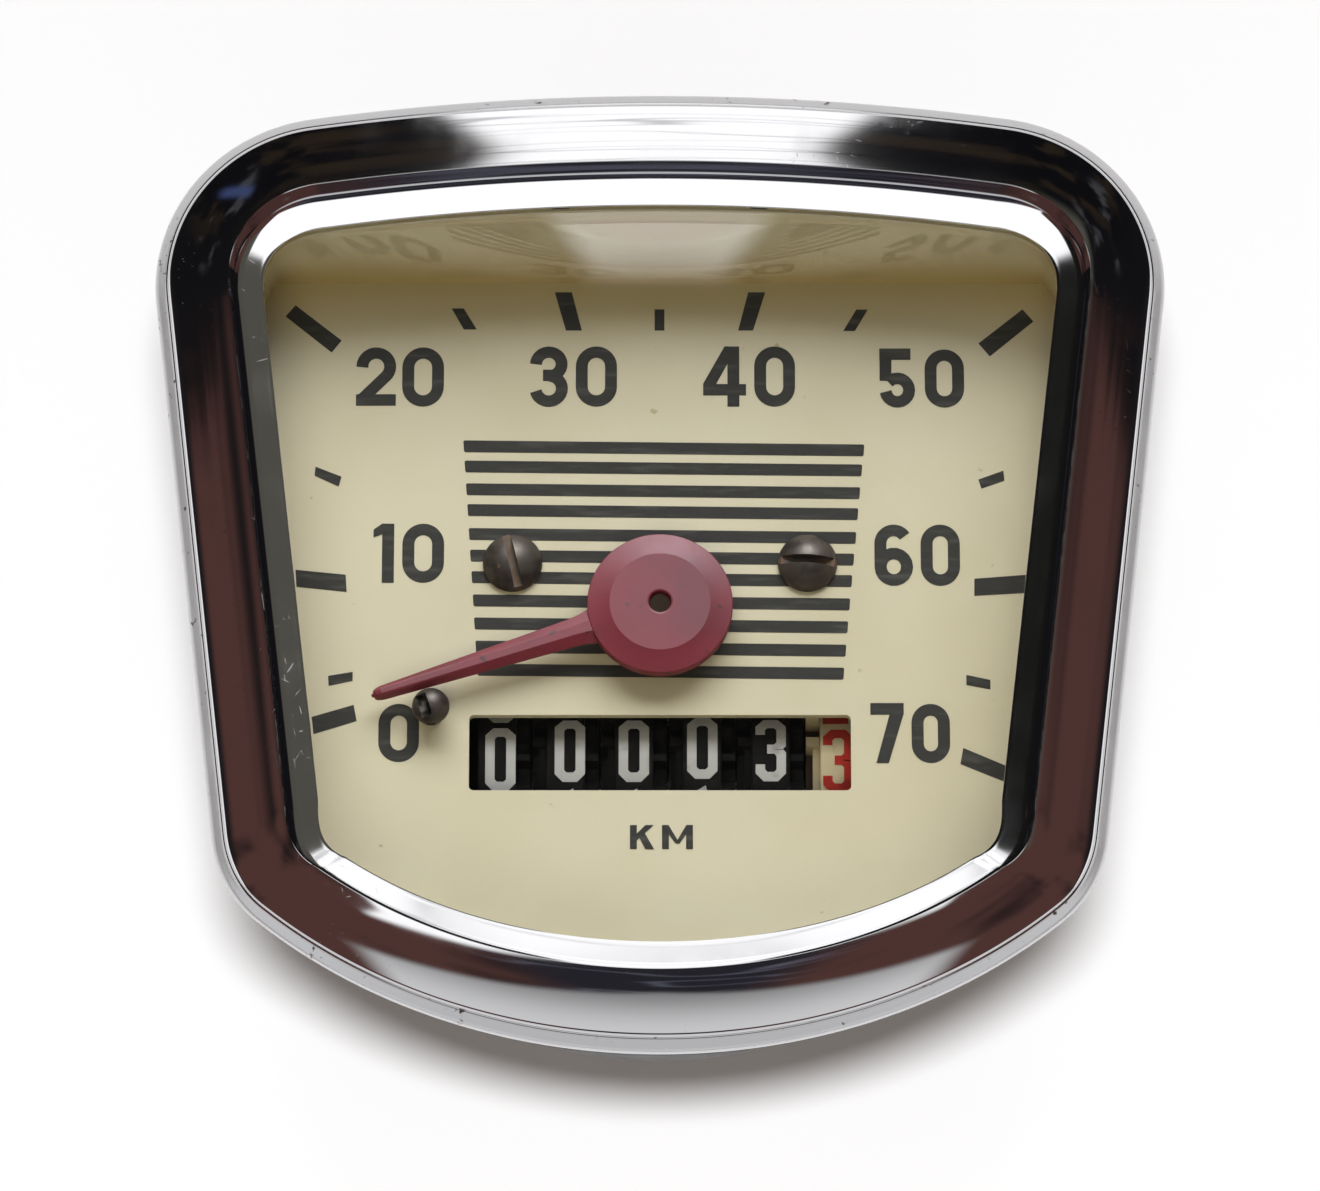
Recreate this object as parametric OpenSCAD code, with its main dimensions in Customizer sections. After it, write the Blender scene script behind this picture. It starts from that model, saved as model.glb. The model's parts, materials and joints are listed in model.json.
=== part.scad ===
// Panel speedometer with a drum odometer, driven by a flexible cable.
// Millimetres. The dial faces +Z and the top of the scale lies toward +Y.
// The origin lies on the needle axis, at the free end of the threaded drive nose.

/* [Outline] */
// Half distance between the centres of the two upper corner arcs
top_corner_x = 26.2; // [24:0.1:30]
// Height of the upper corner centres above the needle axis
top_corner_y = 25; // [22:0.1:28]
// Radius of the upper corners at the rim
top_corner_r = 14.5; // [12:0.1:16]
// Half distance between the centres of the two lower corner arcs
low_corner_x = 25.2; // [23:0.1:28]
// Depth of the lower corner centres below the needle axis
low_corner_y = 20.3; // [18:0.1:24]
// Radius of the lower corners at the rim
low_corner_r = 10.2; // [9.5:0.1:13]
// Radius of the shallow arc along the top
top_arc_r = 197; // [150:1:260]
// Radius of the deep arc along the bottom
low_arc_r = 50; // [46:0.5:60]

/* [Bezel] */
// Width of the bezel from its rim to the opening, on the sides
bezel_w = 8.8; // [8.4:0.1:9.6]
// Width of the bezel at the top and the bottom
bezel_end_w = 9.8; // [8.8:0.1:10.4]
// Height of the face's crown above the rim
bezel_crown = 2.3; // [1.8:0.1:2.8]
// Width of the flared rim outside the face
bezel_rim_w = 0.9; // [0.6:0.1:1.2]
// Rounding of the rim's edge
bezel_rim_edge = 0.15; // [0.1:0.05:0.2]
// Rise of the rim from its edge to the groove
bezel_rim_rise = 0.3; // [0.2:0.05:0.4]
// Width of the groove between the rim and the face
bezel_groove_w = 0.3; // [0.2:0.05:0.4]
// Height above the rim where the face starts
bezel_face_h = 0.5; // [0.4:0.1:0.7]
// Distance from the rim to the ridge where the face ends
bezel_ridge_at = 6.2; // [5.8:0.1:6.8]
// How far that ridge lies below the crown
bezel_ridge_drop = 0.1; // [0.05:0.05:0.3]
// Width of the step down from the ridge to the inner band
bezel_step_w = 0.5; // [0.4:0.05:0.6]
// Height of the inner band's outer edge above the rim
bezel_band_h = 0.4; // [0.3:0.05:0.5]
// How far the opening's lip lies below the rim
bezel_lip_drop = 0.4; // [0.2:0.1:0.5]
// Thickness of the bezel at its lip
bezel_sheet = 0.5; // [0.4:0.05:0.8]
// Wall of the hem that is folded round the case flange
bezel_hem_wall = 0.6; // [0.4:0.05:0.7]
// How far the hem's fold reaches in under the flange
bezel_hem_fold = 1.4; // [1.2:0.1:2]

/* [Glass] */
// Thickness of the front glass
glass_t = 2; // [1.5:0.1:3]
// Distance from the rim to the edge of the glass
glass_inset = 5.2; // [4.8:0.1:5.6]
// Distance from the edge of the glass to the seal under it
seal_inset = 0.4; // [0.2:0.1:0.6]
// Thickness of that seal
seal_t = 0.6; // [0.4:0.1:1]
// Width of the seal
seal_w = 2.2; // [1.8:0.1:2.4]

/* [Case] */
// Sheet thickness of the case
case_wall = 0.8; // [0.6:0.1:1]
// Distance from the rim to the outside of the case
case_inset = 3.5; // [3.2:0.1:3.8]
// Size of the case's back as a share of its mouth
case_taper = 0.74; // [0.73:0.01:0.8]
// Radius of the rounded edge round the back
case_edge_r = 2.2; // [1:0.1:3]
// Thickness of the rubber gasket behind the bezel
gasket_t = 1.5; // [1:0.1:2.5]
// Width of that gasket
gasket_w = 2.9; // [2:0.1:3]
// Radius of the two mounting studs
stud_r = 2.5; // [2:0.1:3]
// Distance between the two studs
stud_spacing = 34; // [30:0.5:38]
// Height of the studs above the needle axis
stud_y = 8; // [6:0.5:12]
// Radius of a stud's shank where it passes through the case
stud_shank_r = 3; // [2.8:0.1:3.4]
// Radius of a stud's collar on the case back
stud_collar_r = 4; // [3.5:0.1:5]
// Thickness of that collar
stud_collar_t = 1; // [0.6:0.1:1.6]

/* [Drive nose] */
// Radius of the drive nose over its free thread
nose_r = 6; // [5:0.1:6.4]
// Radius of the nose's thicker part, which passes through the nut and the case
nose_collar_r = 6.6; // [6.5:0.1:7]
// Free length of the nose past its nut
nose_free = 8; // [6:0.5:12]
// Radius of the bore for the cable's ferrule
nose_bore_r = 4; // [3:0.1:4.2]
// Depth of that bore
nose_bore_depth = 6; // [5:0.5:8]
// Radius of the nose's flange inside the case
nose_flange_r = 11; // [10.5:0.1:13]
// Thickness of that flange
nose_flange_t = 2; // [1.5:0.1:3]
// Radius of the nose's spigot in the base plate
nose_spigot_r = 5; // [4.5:0.1:6]
// Width of the nut across its flats
nut_flats = 17; // [16:0.5:19]
// Thickness of the nut
nut_t = 3; // [2:0.1:4]
// Radius of the washer under the nut
washer_r = 9.5; // [9:0.1:11]
// Thickness of that washer
washer_t = 0.6; // [0.4:0.1:1]
// Wall of the plain bush that the spindle runs in
bush_wall = 1.2; // [0.8:0.1:1.4]

/* [Movement] */
// Thickness of the base plate
plate_t = 2; // [1.6:0.1:3]
// Distance from the case's back edge to the edge of the base plate
plate_inset = 1.5; // [1:0.1:3]
// Radius of the pillars that carry the dial
pillar_r = 1.8; // [1.5:0.1:2.1]
// Thickness of the bridge between the pillars
bridge_t = 1.2; // [1:0.1:2]
// Distance from the dial's underside to the bridge's top
bridge_drop = 5; // [4.6:0.1:6]
// Metal round a pillar's hole in the bridge, and round a shaft's hole in the bracket
eye_wall = 1.2; // [1:0.1:1.4]
// Metal round a hole in the thin arms and posts
thin_eye_wall = 0.9; // [0.7:0.1:1]
// Wall of the needle shaft's upper bush
needle_bush_wall = 0.8; // [0.5:0.1:0.9]
// How far that bush stands out of the bridge, above and below
needle_bush_proud = 0.4; // [0.2:0.1:0.8]
// Radius of the small fixing screws over their thread
fix_screw_r = 1.2; // [1:0.1:1.3]
// Radius of their heads
fix_head_r = 2.1; // [1.8:0.1:2.2]
// Height of their heads
fix_head_h = 1.1; // [0.8:0.1:1.4]
// Width of every screwdriver slot
slot_w = 0.65; // [0.5:0.05:0.8]
// Depth of the small screws' slots
slot_depth = 0.5; // [0.4:0.05:0.6]
// Radius of a domed head's curve, as a share of the head's radius
dome = 1.6; // [1.4:0.1:2]
// Distance of the base plate's screws from the needle axis
base_screw_x = 8.2; // [7.5:0.1:8.5]

/* [Dial] */
// Depth from the bezel's lip to the dial
dial_depth = 9.5; // [8.5:0.1:12]
// Thickness of the dial
dial_t = 0.8; // [0.6:0.1:1.2]
// Distance from the rim to the edge of the dial
dial_inset = 6.2; // [5.8:0.1:6.6]
// Distance of the dial screws from the centre line
dial_screw_x = 11.9; // [11.6:0.05:13]
// Height of the dial screws above the needle axis
dial_screw_y = 4.1; // [3.5:0.1:6]
// Radius of the dial screws over their thread
dial_screw_r = 1; // [0.8:0.1:1.2]
// Radius of the dial screws' domed heads
dial_head_r = 2.4; // [2:0.1:2.8]
// Height of those heads
dial_head_h = 1.3; // [1:0.1:1.4]
// Length of the dial screws below the dial
dial_screw_l = 4; // [3:0.5:4.5]
// Width of the odometer window
window_w = 30.6; // [29:0.1:32]
// Height of the odometer window
window_h = 6.3; // [5.6:0.1:7]
// Depth of the window's centre below the needle axis
window_y = 11.8; // [11:0.05:12]
// Radius of the window's corners
window_corner = 0.4; // [0.2:0.1:0.8]
// Radius of the dial's hole round the needle shaft
dial_hole_r = 1.6; // [1.2:0.1:2.5]
// Distance the spacer's wall stands back behind the bezel's lip
spacer_setback = 0.5; // [0.3:0.1:0.8]
// Thickness of the spacer's wall
spacer_wall = 1; // [0.8:0.1:1.2]
// Height above the needle axis where the spacer's top wall meets the dial in a straight line
spacer_bend_y = 28.2; // [27:0.1:29]

/* [Needle] */
// Length of the needle from its axis to its tip
needle_l = 24.3; // [22:0.1:26]
// Width of the needle's arm at the axis
needle_root_w = 2.9; // [2:0.1:3.2]
// Width of the arm behind its bevelled tip
needle_tip_w = 1.2; // [0.8:0.1:1.4]
// Width of the flat along the arm's top, as a share of the arm's width
needle_flat = 0.36; // [0.2:0.02:0.6]
// Length of the bevelled tip
needle_tip_l = 0.9; // [0.5:0.1:1.5]
// Thickness of the arm
needle_t = 1; // [0.8:0.1:1.4]
// Height of the arm's upright sides below its bevels
needle_side_h = 0.35; // [0.2:0.05:0.5]
// Gap between the dial and the arm, enough to clear the screw heads
needle_gap = 1.7; // [1.6:0.1:2.4]
// Radius of the needle's hub at its base
hub_r = 5.85; // [5:0.05:6.5]
// Radius of the hub's flat top
hub_top_r = 4.1; // [3.5:0.1:4.6]
// Height of the hub above the arm's underside
hub_h = 1.2; // [1.1:0.1:2]
// Depth of the hub below the arm's underside
hub_skirt = 0.4; // [0.2:0.1:0.8]
// Height of the hub's chamfer
hub_chamfer = 0.5; // [0.3:0.1:0.8]
// How far the shaft's end lies below the hub's top
hub_recess = 0.5; // [0.3:0.1:0.8]
// Radius of the needle shaft
needle_shaft_r = 0.8; // [0.6:0.05:1]
// Radius of the shaft's lower pivot
needle_pivot_r = 0.4; // [0.3:0.05:0.45]
// Length of the pivot inside the spindle
needle_pivot_l = 2; // [1.5:0.1:3]
// Direction of the needle at rest, anticlockwise from +X
needle_rest = 198.3; // [190:0.1:205]
// Distance of the stop pin from the needle's tip
stop_from_tip = 4.1; // [3:0.1:6]
// Radius of the stop pin
stop_r = 1.5; // [1:0.1:1.8]
// How far the stop pin stands above the needle's top
stop_proud = 0.2; // [0.1:0.1:1]

/* [Drag cup] */
// Radius of the magnet
magnet_r = 7; // [6.5:0.1:7.2]
// Thickness of the magnet
magnet_t = 5; // [4:0.1:5.5]
// Radius of the boss inside the magnet
boss_r = 3; // [2.4:0.1:3.6]
// Radius of the flange that carries the magnet
boss_flange_r = 4.9; // [4:0.1:6]
// Thickness of that flange
boss_flange_t = 0.8; // [0.6:0.1:1]
// Air gap on each side of the drag cup's wall
air_gap = 0.6; // [0.5:0.1:0.7]
// Sheet thickness of the drag cup
cup_t = 0.5; // [0.4:0.1:0.6]
// Wall of the steel ring round the drag cup
flux_wall = 1.2; // [1:0.1:1.4]
// Radius of that ring's feet
flux_foot_r = 0.5; // [0.4:0.05:0.5]
// Radius of the drag cup's hub
collet_r = 1.8; // [1.4:0.1:2]
// Height of the hub above the cup
collet_h = 2; // [1.6:0.1:2.2]
// Number of turns of the hairspring
spring_turns = 4; // [3:1:5]
// Thickness of the hairspring's ribbon
spring_t = 0.2; // [0.15:0.05:0.25]
// Width of that ribbon
spring_w = 0.7; // [0.5:0.1:0.8]
// Outer radius of the hairspring
spring_r = 5; // [4.6:0.1:5.2]
// Thickness of the lever that holds the hairspring's outer end
lever_t = 0.9; // [0.7:0.1:1]
// Width of that lever
lever_w = 2; // [1.6:0.1:2.4]

/* [Gear train] */
// Module of the first and second worm stage
train_module = 0.6; // [0.58:0.01:0.62]
// Teeth of the first and second worm wheel
train_teeth = 10; // [10:1:10]
// Pitch radius of the first and second worm
train_worm_r = 1.8; // [1.75:0.01:1.9]
// Face width of the worm wheels
wheel_w = 1.4; // [1:0.1:1.6]
// Radius of the thin shafts in the train
train_shaft_r = 0.8; // [0.7:0.05:0.8]
// Length of the first and second worm
train_worm_l = 6; // [5:0.1:6]
// Distance of the upright shaft from the centre line
upright_x = 18.5; // [18.4:0.1:18.8]
// Teeth of the wheel that turns the odometer
drum_wheel_teeth = 20; // [20:1:20]
// Pitch radius of the worm that turns the odometer
drum_worm_r = 2; // [1.9:0.05:2.1]
// Length of that worm
drum_worm_l = 8.8; // [7:0.1:9]
// Thickness of the bearing posts on the base plate
post_t = 1.4; // [1:0.1:1.6]
// Radius of the spindle in its bush
spindle_r = 1.5; // [1.2:0.1:1.8]
// Radius of the spindle's socket end
socket_r = 2.6; // [2.4:0.1:3]
// Width of the square drive socket
socket_square = 2.7; // [2.4:0.1:2.8]
// Length of the socket end, behind the bore for the ferrule
socket_l = 3.5; // [3:0.1:4.5]
// Metal between the bottom of the socket and the bush
socket_floor = 0.5; // [0.3:0.1:0.8]

/* [Odometer] */
// Radius of the number drums
drum_r = 9.3; // [9:0.05:9.4]
// Number of drums
drum_count = 6; // [6:1:6]
// Distance from drum to drum
drum_pitch = 5.5; // [5.45:0.01:5.6]
// Width of a drum's number band
drum_band = 3.1; // [2.9:0.05:3.1]
// Width of the toothed ring beside the band, and of the carry disc on its other side
drum_flank = 1.1; // [1:0.05:1.1]
// Depth of the drum axis below the needle axis
drum_y = 11.4; // [11.3:0.05:11.6]
// Distance from the centre line to the middle of the row of drums
drum_shift = 0.65; // [0.5:0.05:0.7]
// Radius of the drum axle
axle_r = 1.5; // [1.2:0.1:1.8]
// Radius of the drums' hubs
drum_hub_r = 3; // [2.6:0.1:3.4]
// Module of the carry gears
carry_module = 0.8; // [0.79:0.01:0.81]
// Teeth of a drum's ring
ring_teeth = 20; // [20:1:20]
// Teeth of a carry pinion
pinion_teeth = 8; // [8:1:8]
// Radius of the carry disc
carry_disc_r = 8.2; // [8:0.05:8.2]
// Radius of the pinion axle
pinion_axle_r = 0.9; // [0.7:0.05:1]
// Thickness of the two cheeks
cheek_t = 1.2; // [1:0.1:1.4]
// Metal round the axles in a cheek
cheek_edge = 1.6; // [1.2:0.1:2]
// Room between the drum wheel and the right cheek
cheek_room = 1.2; // [1:0.1:1.4]
// Distance from the pinion axle to the near edge of a cheek's foot
foot_back = 4; // [3.5:0.1:4.5]
// Thickness of a cheek's foot on the base plate
foot_t = 1.2; // [1:0.1:1.5]

/* [Fits] */
// Radial clearance of a shaft that turns in a hole
run_fit = 0.04; // [0.02:0.01:0.08]
// Clearance between pieces that stand beside each other and move
side_gap = 0.2; // [0.1:0.05:0.4]
// Clearance between the needle and the stop pin at rest
stop_gap = 0.06; // [0.04:0.01:0.1]
// Gap above a piece that has to clear what lies over it
head_room = 0.3; // [0.2:0.05:0.5]

/* [Hidden] */
$fn = 48;

// Segments of the outline's arcs
low_arc_steps = 8;
corner_steps = 9;
top_arc_steps = 5;
face_steps = 8;
// Sections of a worm in each turn of its thread
worm_slices = 18;
// Segments of the hairspring in each turn
spring_steps = 24;
// A small overlap for cuts that run out of a solid
cut = 1;
// Half angle of a worm thread's crest in a cross-section, and the angle where its root starts
crest_a = 36;
root_a = 108;
// Directions of the flux ring's feet
flux_foot_at = [50, 130, 270];
// Turns of the screwdriver slots: left and right dial screw, and the small screws
dial_slot_at = [76, -4];
fix_slot_at = 30;
// Direction of a drum's carry notch, opposite the pinion, and half its width in teeth
carry_at = 162;
notch_half = 1.3;
// Shares of the bezel's step and band that shape the curve between them
step_share = 0.4;
band_share = 0.3;

// Worm and wheel proportions, in modules
wheel_addendum = 0.83;
wheel_dedendum = 1.17;
worm_addendum = 0.83;
worm_dedendum = 1.08;
// Widths of the teeth at root and tip, in modules
wheel_tooth_root = 1.55;
wheel_tooth_tip = 0.75;
ring_tooth_root = 1.5;
ring_tooth_tip = 0.7;
pinion_tooth_root = 1.35;
pinion_tooth_tip = 0.65;
// Height and depth of the carry teeth, in modules
ring_addendum = 0.8;
ring_dedendum = 1;

// Heights from the nose upward
back_z = nose_free + nut_t + washer_t;
floor_z = back_z + case_wall;
plate_z = floor_z + nose_flange_t;
bush_z = nose_bore_depth + socket_l + 2 * side_gap;
plate_top = plate_z + plate_t;
train_wheel_r = train_module * train_teeth / 2;
train_tip_r = train_wheel_r + wheel_addendum * train_module;
train_centre = train_wheel_r + train_worm_r;
cross_z = plate_top + train_tip_r + head_room;
boss_z = cross_z + max(train_worm_l / 2, train_tip_r) + head_room;
magnet_z = boss_z + boss_flange_t;
magnet_top = magnet_z + magnet_t;
cup_top = magnet_top + air_gap + cup_t;
cup_r = magnet_r + air_gap + cup_t;
flux_r = cup_r + air_gap;
spring_z = cup_top + air_gap + side_gap / 2;
drum_clear = drum_r + 2 * head_room;
flux_edge = flux_r + flux_wall;
drum_z = cup_top + sqrt(pow(drum_clear, 2) - pow(drum_y - flux_edge, 2));
drum_wheel_r = drum_y - drum_worm_r;
drum_module = 2 * drum_wheel_r / drum_wheel_teeth;
dial_z = drum_z + drum_wheel_r + wheel_addendum * drum_module + head_room;
dial_top = dial_z + dial_t;
lip_z = dial_top + dial_depth;
rim_z = lip_z + bezel_lip_drop;
glass_top = lip_z - bezel_sheet;
glass_z = glass_top - glass_t;
spacer_top = glass_z - seal_t;
flange_z = glass_top - case_wall;
hem_z = flange_z - bezel_hem_wall;
seat_z = hem_z - gasket_t;
bridge_z = dial_z - bridge_drop - bridge_t;
bracket_z = bridge_z + bridge_t;
needle_z = dial_top + needle_gap;

// Places across the dial
cross_y = -train_centre;
drum_x0 = drum_shift - (drum_count - 1) / 2 * drum_pitch;
pinion_r = carry_module * pinion_teeth / 2;
ring_r = carry_module * ring_teeth / 2;
pinion_centre = (pinion_r + ring_r) / sqrt(2);
pinion_y = -drum_y - pinion_centre;
pinion_z = drum_z - pinion_centre;
carry_addendum = ring_addendum * carry_module;
carry_dedendum = ring_dedendum * carry_module;
tenths_x = drum_x0 + (drum_count - 1) * drum_pitch;
cheek_left_x = drum_x0 - drum_band / 2 - drum_flank - side_gap - cheek_t;
cheek_right_x = upright_x + wheel_w / 2 + cheek_room;
foot_l = cheek_t + 2 * fix_head_r + 2 * side_gap;
foot_y0 = pinion_y + foot_back;
foot_y1 = cross_y - train_worm_r - worm_addendum * train_module - 2 * side_gap;
cheek_screw_y = (foot_y0 + foot_y1) / 2;
cheek_screw_at = [cheek_left_x + foot_l - fix_head_r, cheek_right_x + cheek_t - foot_l + fix_head_r];
post_left_x = -train_worm_l / 2 - post_t;
post_right_x = cheek_right_x + cheek_t + 2 * side_gap;
stop_at = needle_l - stop_from_tip;
stop_half = needle_root_w / 2 + (needle_tip_w - needle_root_w) / 2 * stop_at / needle_l;
stop_angle = needle_rest + asin((stop_half + stop_r + stop_gap) / stop_at);
bezel_k = bezel_end_w / bezel_w - 1;
lever_angle = atan2(dial_screw_y, -dial_screw_x);

// Points and outward normals of the rim, anticlockwise from the middle of the bottom
low_arc_cy = -low_corner_y + sqrt(pow(low_arc_r - low_corner_r, 2) - pow(low_corner_x, 2));
top_arc_cy = top_corner_y - sqrt(pow(top_arc_r - top_corner_r, 2) - pow(top_corner_x, 2));
low_join = atan2(-low_corner_y - low_arc_cy, low_corner_x);
top_join = atan2(top_corner_y - top_arc_cy, top_corner_x);
side_dx = low_corner_x - top_corner_x;
side_dy = -low_corner_y - top_corner_y;
side_len = sqrt(side_dx * side_dx + side_dy * side_dy);
side_normal = atan2(side_dy, side_dx) + acos((top_corner_r - low_corner_r) / side_len);

function arc(cx, cy, r, a0, a1, n, last) =
  [for (i = [0 : last]) let (a = a0 + (a1 - a0) * i / n)
    [cx + r * cos(a), cy + r * sin(a), cos(a), sin(a)]];

right_half = concat(
  arc(0, low_arc_cy, low_arc_r, -90, low_join, low_arc_steps, low_arc_steps - 1),
  arc(low_corner_x, -low_corner_y, low_corner_r, low_join, side_normal, corner_steps, corner_steps),
  arc(top_corner_x, top_corner_y, top_corner_r, side_normal, top_join, corner_steps, corner_steps - 1),
  arc(0, top_arc_cy, top_arc_r, top_join, 90, top_arc_steps, top_arc_steps)
);
rim_points = concat(
  right_half,
  [for (i = [len(right_half) - 2 : -1 : 1]) let (p = right_half[i]) [-p[0], p[1], -p[2], p[3]]]
);

// The rim drawn in by u, wider by the share k at the top and bottom, and shrunk about the axis by s
function drawn_in(u, k = 0, s = 1) =
  [for (p = rim_points) let (v = u * (1 + k * p[3] * p[3]))
    [s * (p[0] - v * p[2]), s * (p[1] - v * p[3])]];
function ring(u, z, k = 0, s = 1) = [for (p = drawn_in(u, k, s)) [p[0], p[1], z]];
function below(points, y_max) = [for (p = points) [p[0], min(p[1], y_max), p[2]]];
function case_share(z) = 1 - (1 - case_taper) * (seat_z - min(z, seat_z)) / (seat_z - back_z);

function side_faces(n, m, closed) =
  [for (j = [0 : m - (closed ? 1 : 2)], i = [0 : n - 1])
    let (a = j * n, b = ((j + 1) % m) * n, k = (i + 1) % n)
    each [[a + i, b + i, b + k], [a + i, b + k, a + k]]];

// A solid through a stack of rings, closed at both ends
module loft(rings) {
  n = len(rings[0]);
  m = len(rings);
  ends = [[for (i = [0 : n - 1]) i], [for (i = [n - 1 : -1 : 0]) (m - 1) * n + i]];
  polyhedron(points = [for (r = rings) each r], faces = concat(ends, side_faces(n, m, false)), convexity = 6);
}

// A hoop through rings that run round a closed section
module hoop(rings) {
  n = len(rings[0]);
  m = len(rings);
  polyhedron(points = [for (r = rings) each r], faces = side_faces(n, m, true), convexity = 8);
}

// A cylinder along +X that starts at x
module rod_x(x, y, z, r, l) {
  translate([x, y, z]) rotate([0, 90, 0]) cylinder(r = r, h = l);
}

function polar(r, a) = [r * cos(a), r * sin(a)];
function spread(w, r) = asin(w / 2 / r);

// Outline of a gear: w_root and w_tip are the widths of a tooth, and one tooth points along phase
function gear_points(n, root, tip, w_root, w_tip, phase) =
  [for (i = [0 : n - 1]) let (a = phase + 360 * i / n)
    each [
      polar(root, a - spread(w_root, root)), polar(tip, a - spread(w_tip, tip)),
      polar(tip, a + spread(w_tip, tip)), polar(root, a + spread(w_root, root))
    ]];

// A straight worm wheel for a worm of the same module
module worm_wheel(module_mm, teeth, bore, phase) {
  r = module_mm * teeth / 2;
  root = r - wheel_dedendum * module_mm;
  tip = r + wheel_addendum * module_mm;
  translate([0, 0, -wheel_w / 2]) linear_extrude(wheel_w) difference() {
    polygon(gear_points(teeth, root, tip, wheel_tooth_root * module_mm, wheel_tooth_tip * module_mm, phase));
    circle(r = bore);
  }
}

// A worm with one thread, whose crest points along away in its middle plane; hand is 1 for right
module worm(module_mm, pitch_r, l, bore, away, hand) {
  turns = hand * l / (PI * module_mm);
  slices = ceil(abs(turns) * worm_slices);
  root = pitch_r - worm_dedendum * module_mm;
  tip = pitch_r + worm_addendum * module_mm;
  section = concat(
    [for (i = [0 : 3]) [tip, crest_a * (2 * i / 3 - 1)]],
    [for (i = [0 : 4]) [root, root_a + (360 - 2 * root_a) * i / 4]]
  );
  translate([0, 0, -l / 2]) difference() {
    loft([for (j = [0 : slices]) let (turn = away + 360 * turns * (j / slices - 0.5))
      [for (p = section) concat(polar(p[0], p[1] + turn), l * j / slices)]]);
    translate([0, 0, -cut]) cylinder(r = bore, h = l + 2 * cut);
  }
}

// A slotted screw on +Z: its head stands on the plane z = 0
module screw(r, l, head_r, head_h, turn, domed) {
  difference() {
    union() {
      translate([0, 0, -l]) cylinder(r = r, h = l);
      if (domed) intersection() {
        cylinder(r = head_r, h = head_h);
        translate([0, 0, head_h - dome * head_r]) sphere(r = dome * head_r);
      }
      else cylinder(r = head_r, h = head_h);
    }
    rotate([0, 0, turn]) translate([-head_r - cut, -slot_w / 2, head_h - slot_depth])
      cube([2 * (head_r + cut), slot_w, slot_depth + cut]);
  }
}

// Front and case

module bezel() {
  face_u = bezel_rim_w + bezel_groove_w;
  face_w = bezel_ridge_at - face_u;
  band_u = bezel_ridge_at + bezel_step_w;
  face_h = bezel_crown - bezel_face_h;
  under = glass_top - rim_z;
  fold = flange_z - rim_z;
  hem = hem_z - rim_z;
  rim_part = [
    [0, hem], [0, -2 * bezel_rim_edge], [bezel_rim_edge, -bezel_rim_edge],
    [bezel_rim_w - bezel_rim_edge, bezel_rim_rise], [bezel_rim_w, bezel_rim_rise - bezel_rim_edge / 2]
  ];
  face_part = [for (i = [0 : face_steps]) let (t = i / face_steps)
    [face_u + face_w * t, bezel_crown - face_h * pow(1 - t, 2) - bezel_ridge_drop * pow(t, face_steps)]];
  band_part = [
    [band_u - step_share * bezel_step_w, 2 * bezel_band_h], [band_u, bezel_band_h],
    [band_u + bezel_step_w, band_share * bezel_band_h],
    [bezel_w - bezel_rim_edge, -bezel_lip_drop], [bezel_w, -bezel_lip_drop - bezel_rim_edge]
  ];
  back_part = [
    [bezel_w, under], [bezel_hem_wall, under], [bezel_hem_wall, fold],
    [bezel_hem_fold, fold], [bezel_hem_fold, hem]
  ];
  section = concat(rim_part, face_part, band_part, back_part);
  color("gainsboro") hoop([for (p = section) ring(p[0], rim_z + p[1], bezel_k)]);
}

module glass() {
  color("lightcyan", 0.3) translate([0, 0, glass_z]) linear_extrude(glass_t)
    polygon(drawn_in(glass_inset, bezel_k));
}

module glass_seal() {
  color("dimgray") translate([0, 0, spacer_top]) linear_extrude(seal_t) difference() {
    polygon(drawn_in(glass_inset + seal_inset, bezel_k));
    polygon(drawn_in(glass_inset + seal_inset + seal_w, bezel_k));
  }
}

module spacer_frame() {
  inner = bezel_w - spacer_setback;
  outer = inner - spacer_wall;
  lip = glass_inset + side_gap;
  color("cornsilk") hoop([
    ring(outer, dial_top, bezel_k),
    ring(outer, spacer_top - spacer_wall, bezel_k),
    ring(lip, spacer_top - spacer_wall, bezel_k),
    ring(lip, spacer_top, bezel_k),
    ring(inner, spacer_top, bezel_k),
    below(ring(inner, dial_top, bezel_k), spacer_bend_y)
  ]);
}

module panel_gasket() {
  color("black") translate([0, 0, seat_z]) linear_extrude(gasket_t) difference() {
    polygon(drawn_in(case_inset - side_gap - gasket_w));
    polygon(drawn_in(case_inset - side_gap));
  }
}

module case_shell() {
  back = case_share(back_z);
  low = case_share(back_z + case_edge_r);
  inside = case_inset + case_wall;
  edge_mid = case_edge_r * (1 - cos(45));
  flange_edge = bezel_hem_wall + side_gap / 2;
  color("slategray") difference() {
    loft([
      ring(case_inset + case_edge_r, back_z, s = back),
      ring(case_inset + edge_mid, back_z + edge_mid, s = back),
      ring(case_inset, back_z + case_edge_r, s = low),
      ring(case_inset, seat_z),
      ring(case_inset, flange_z),
      ring(flange_edge, flange_z),
      ring(flange_edge, glass_top),
      ring(inside, glass_top),
      ring(inside, seat_z),
      ring(inside, floor_z + case_edge_r, s = low),
      ring(inside + edge_mid, floor_z + edge_mid, s = back),
      ring(inside + case_edge_r, floor_z, s = back)
    ]);
    translate([0, 0, back_z - cut]) cylinder(r = nose_collar_r, h = case_wall + 2 * cut);
    for (x = [-stud_spacing / 2, stud_spacing / 2])
      translate([x, stud_y, back_z - cut]) cylinder(r = stud_shank_r, h = case_wall + 2 * cut);
  }
}

module mounting_studs() {
  color("silver") for (x = [-stud_spacing / 2, stud_spacing / 2]) translate([x, stud_y, 0]) {
    cylinder(r = stud_r, h = back_z);
    translate([0, 0, back_z]) cylinder(r = stud_shank_r, h = case_wall);
    translate([0, 0, floor_z]) cylinder(r = stud_collar_r, h = stud_collar_t);
  }
}

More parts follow.
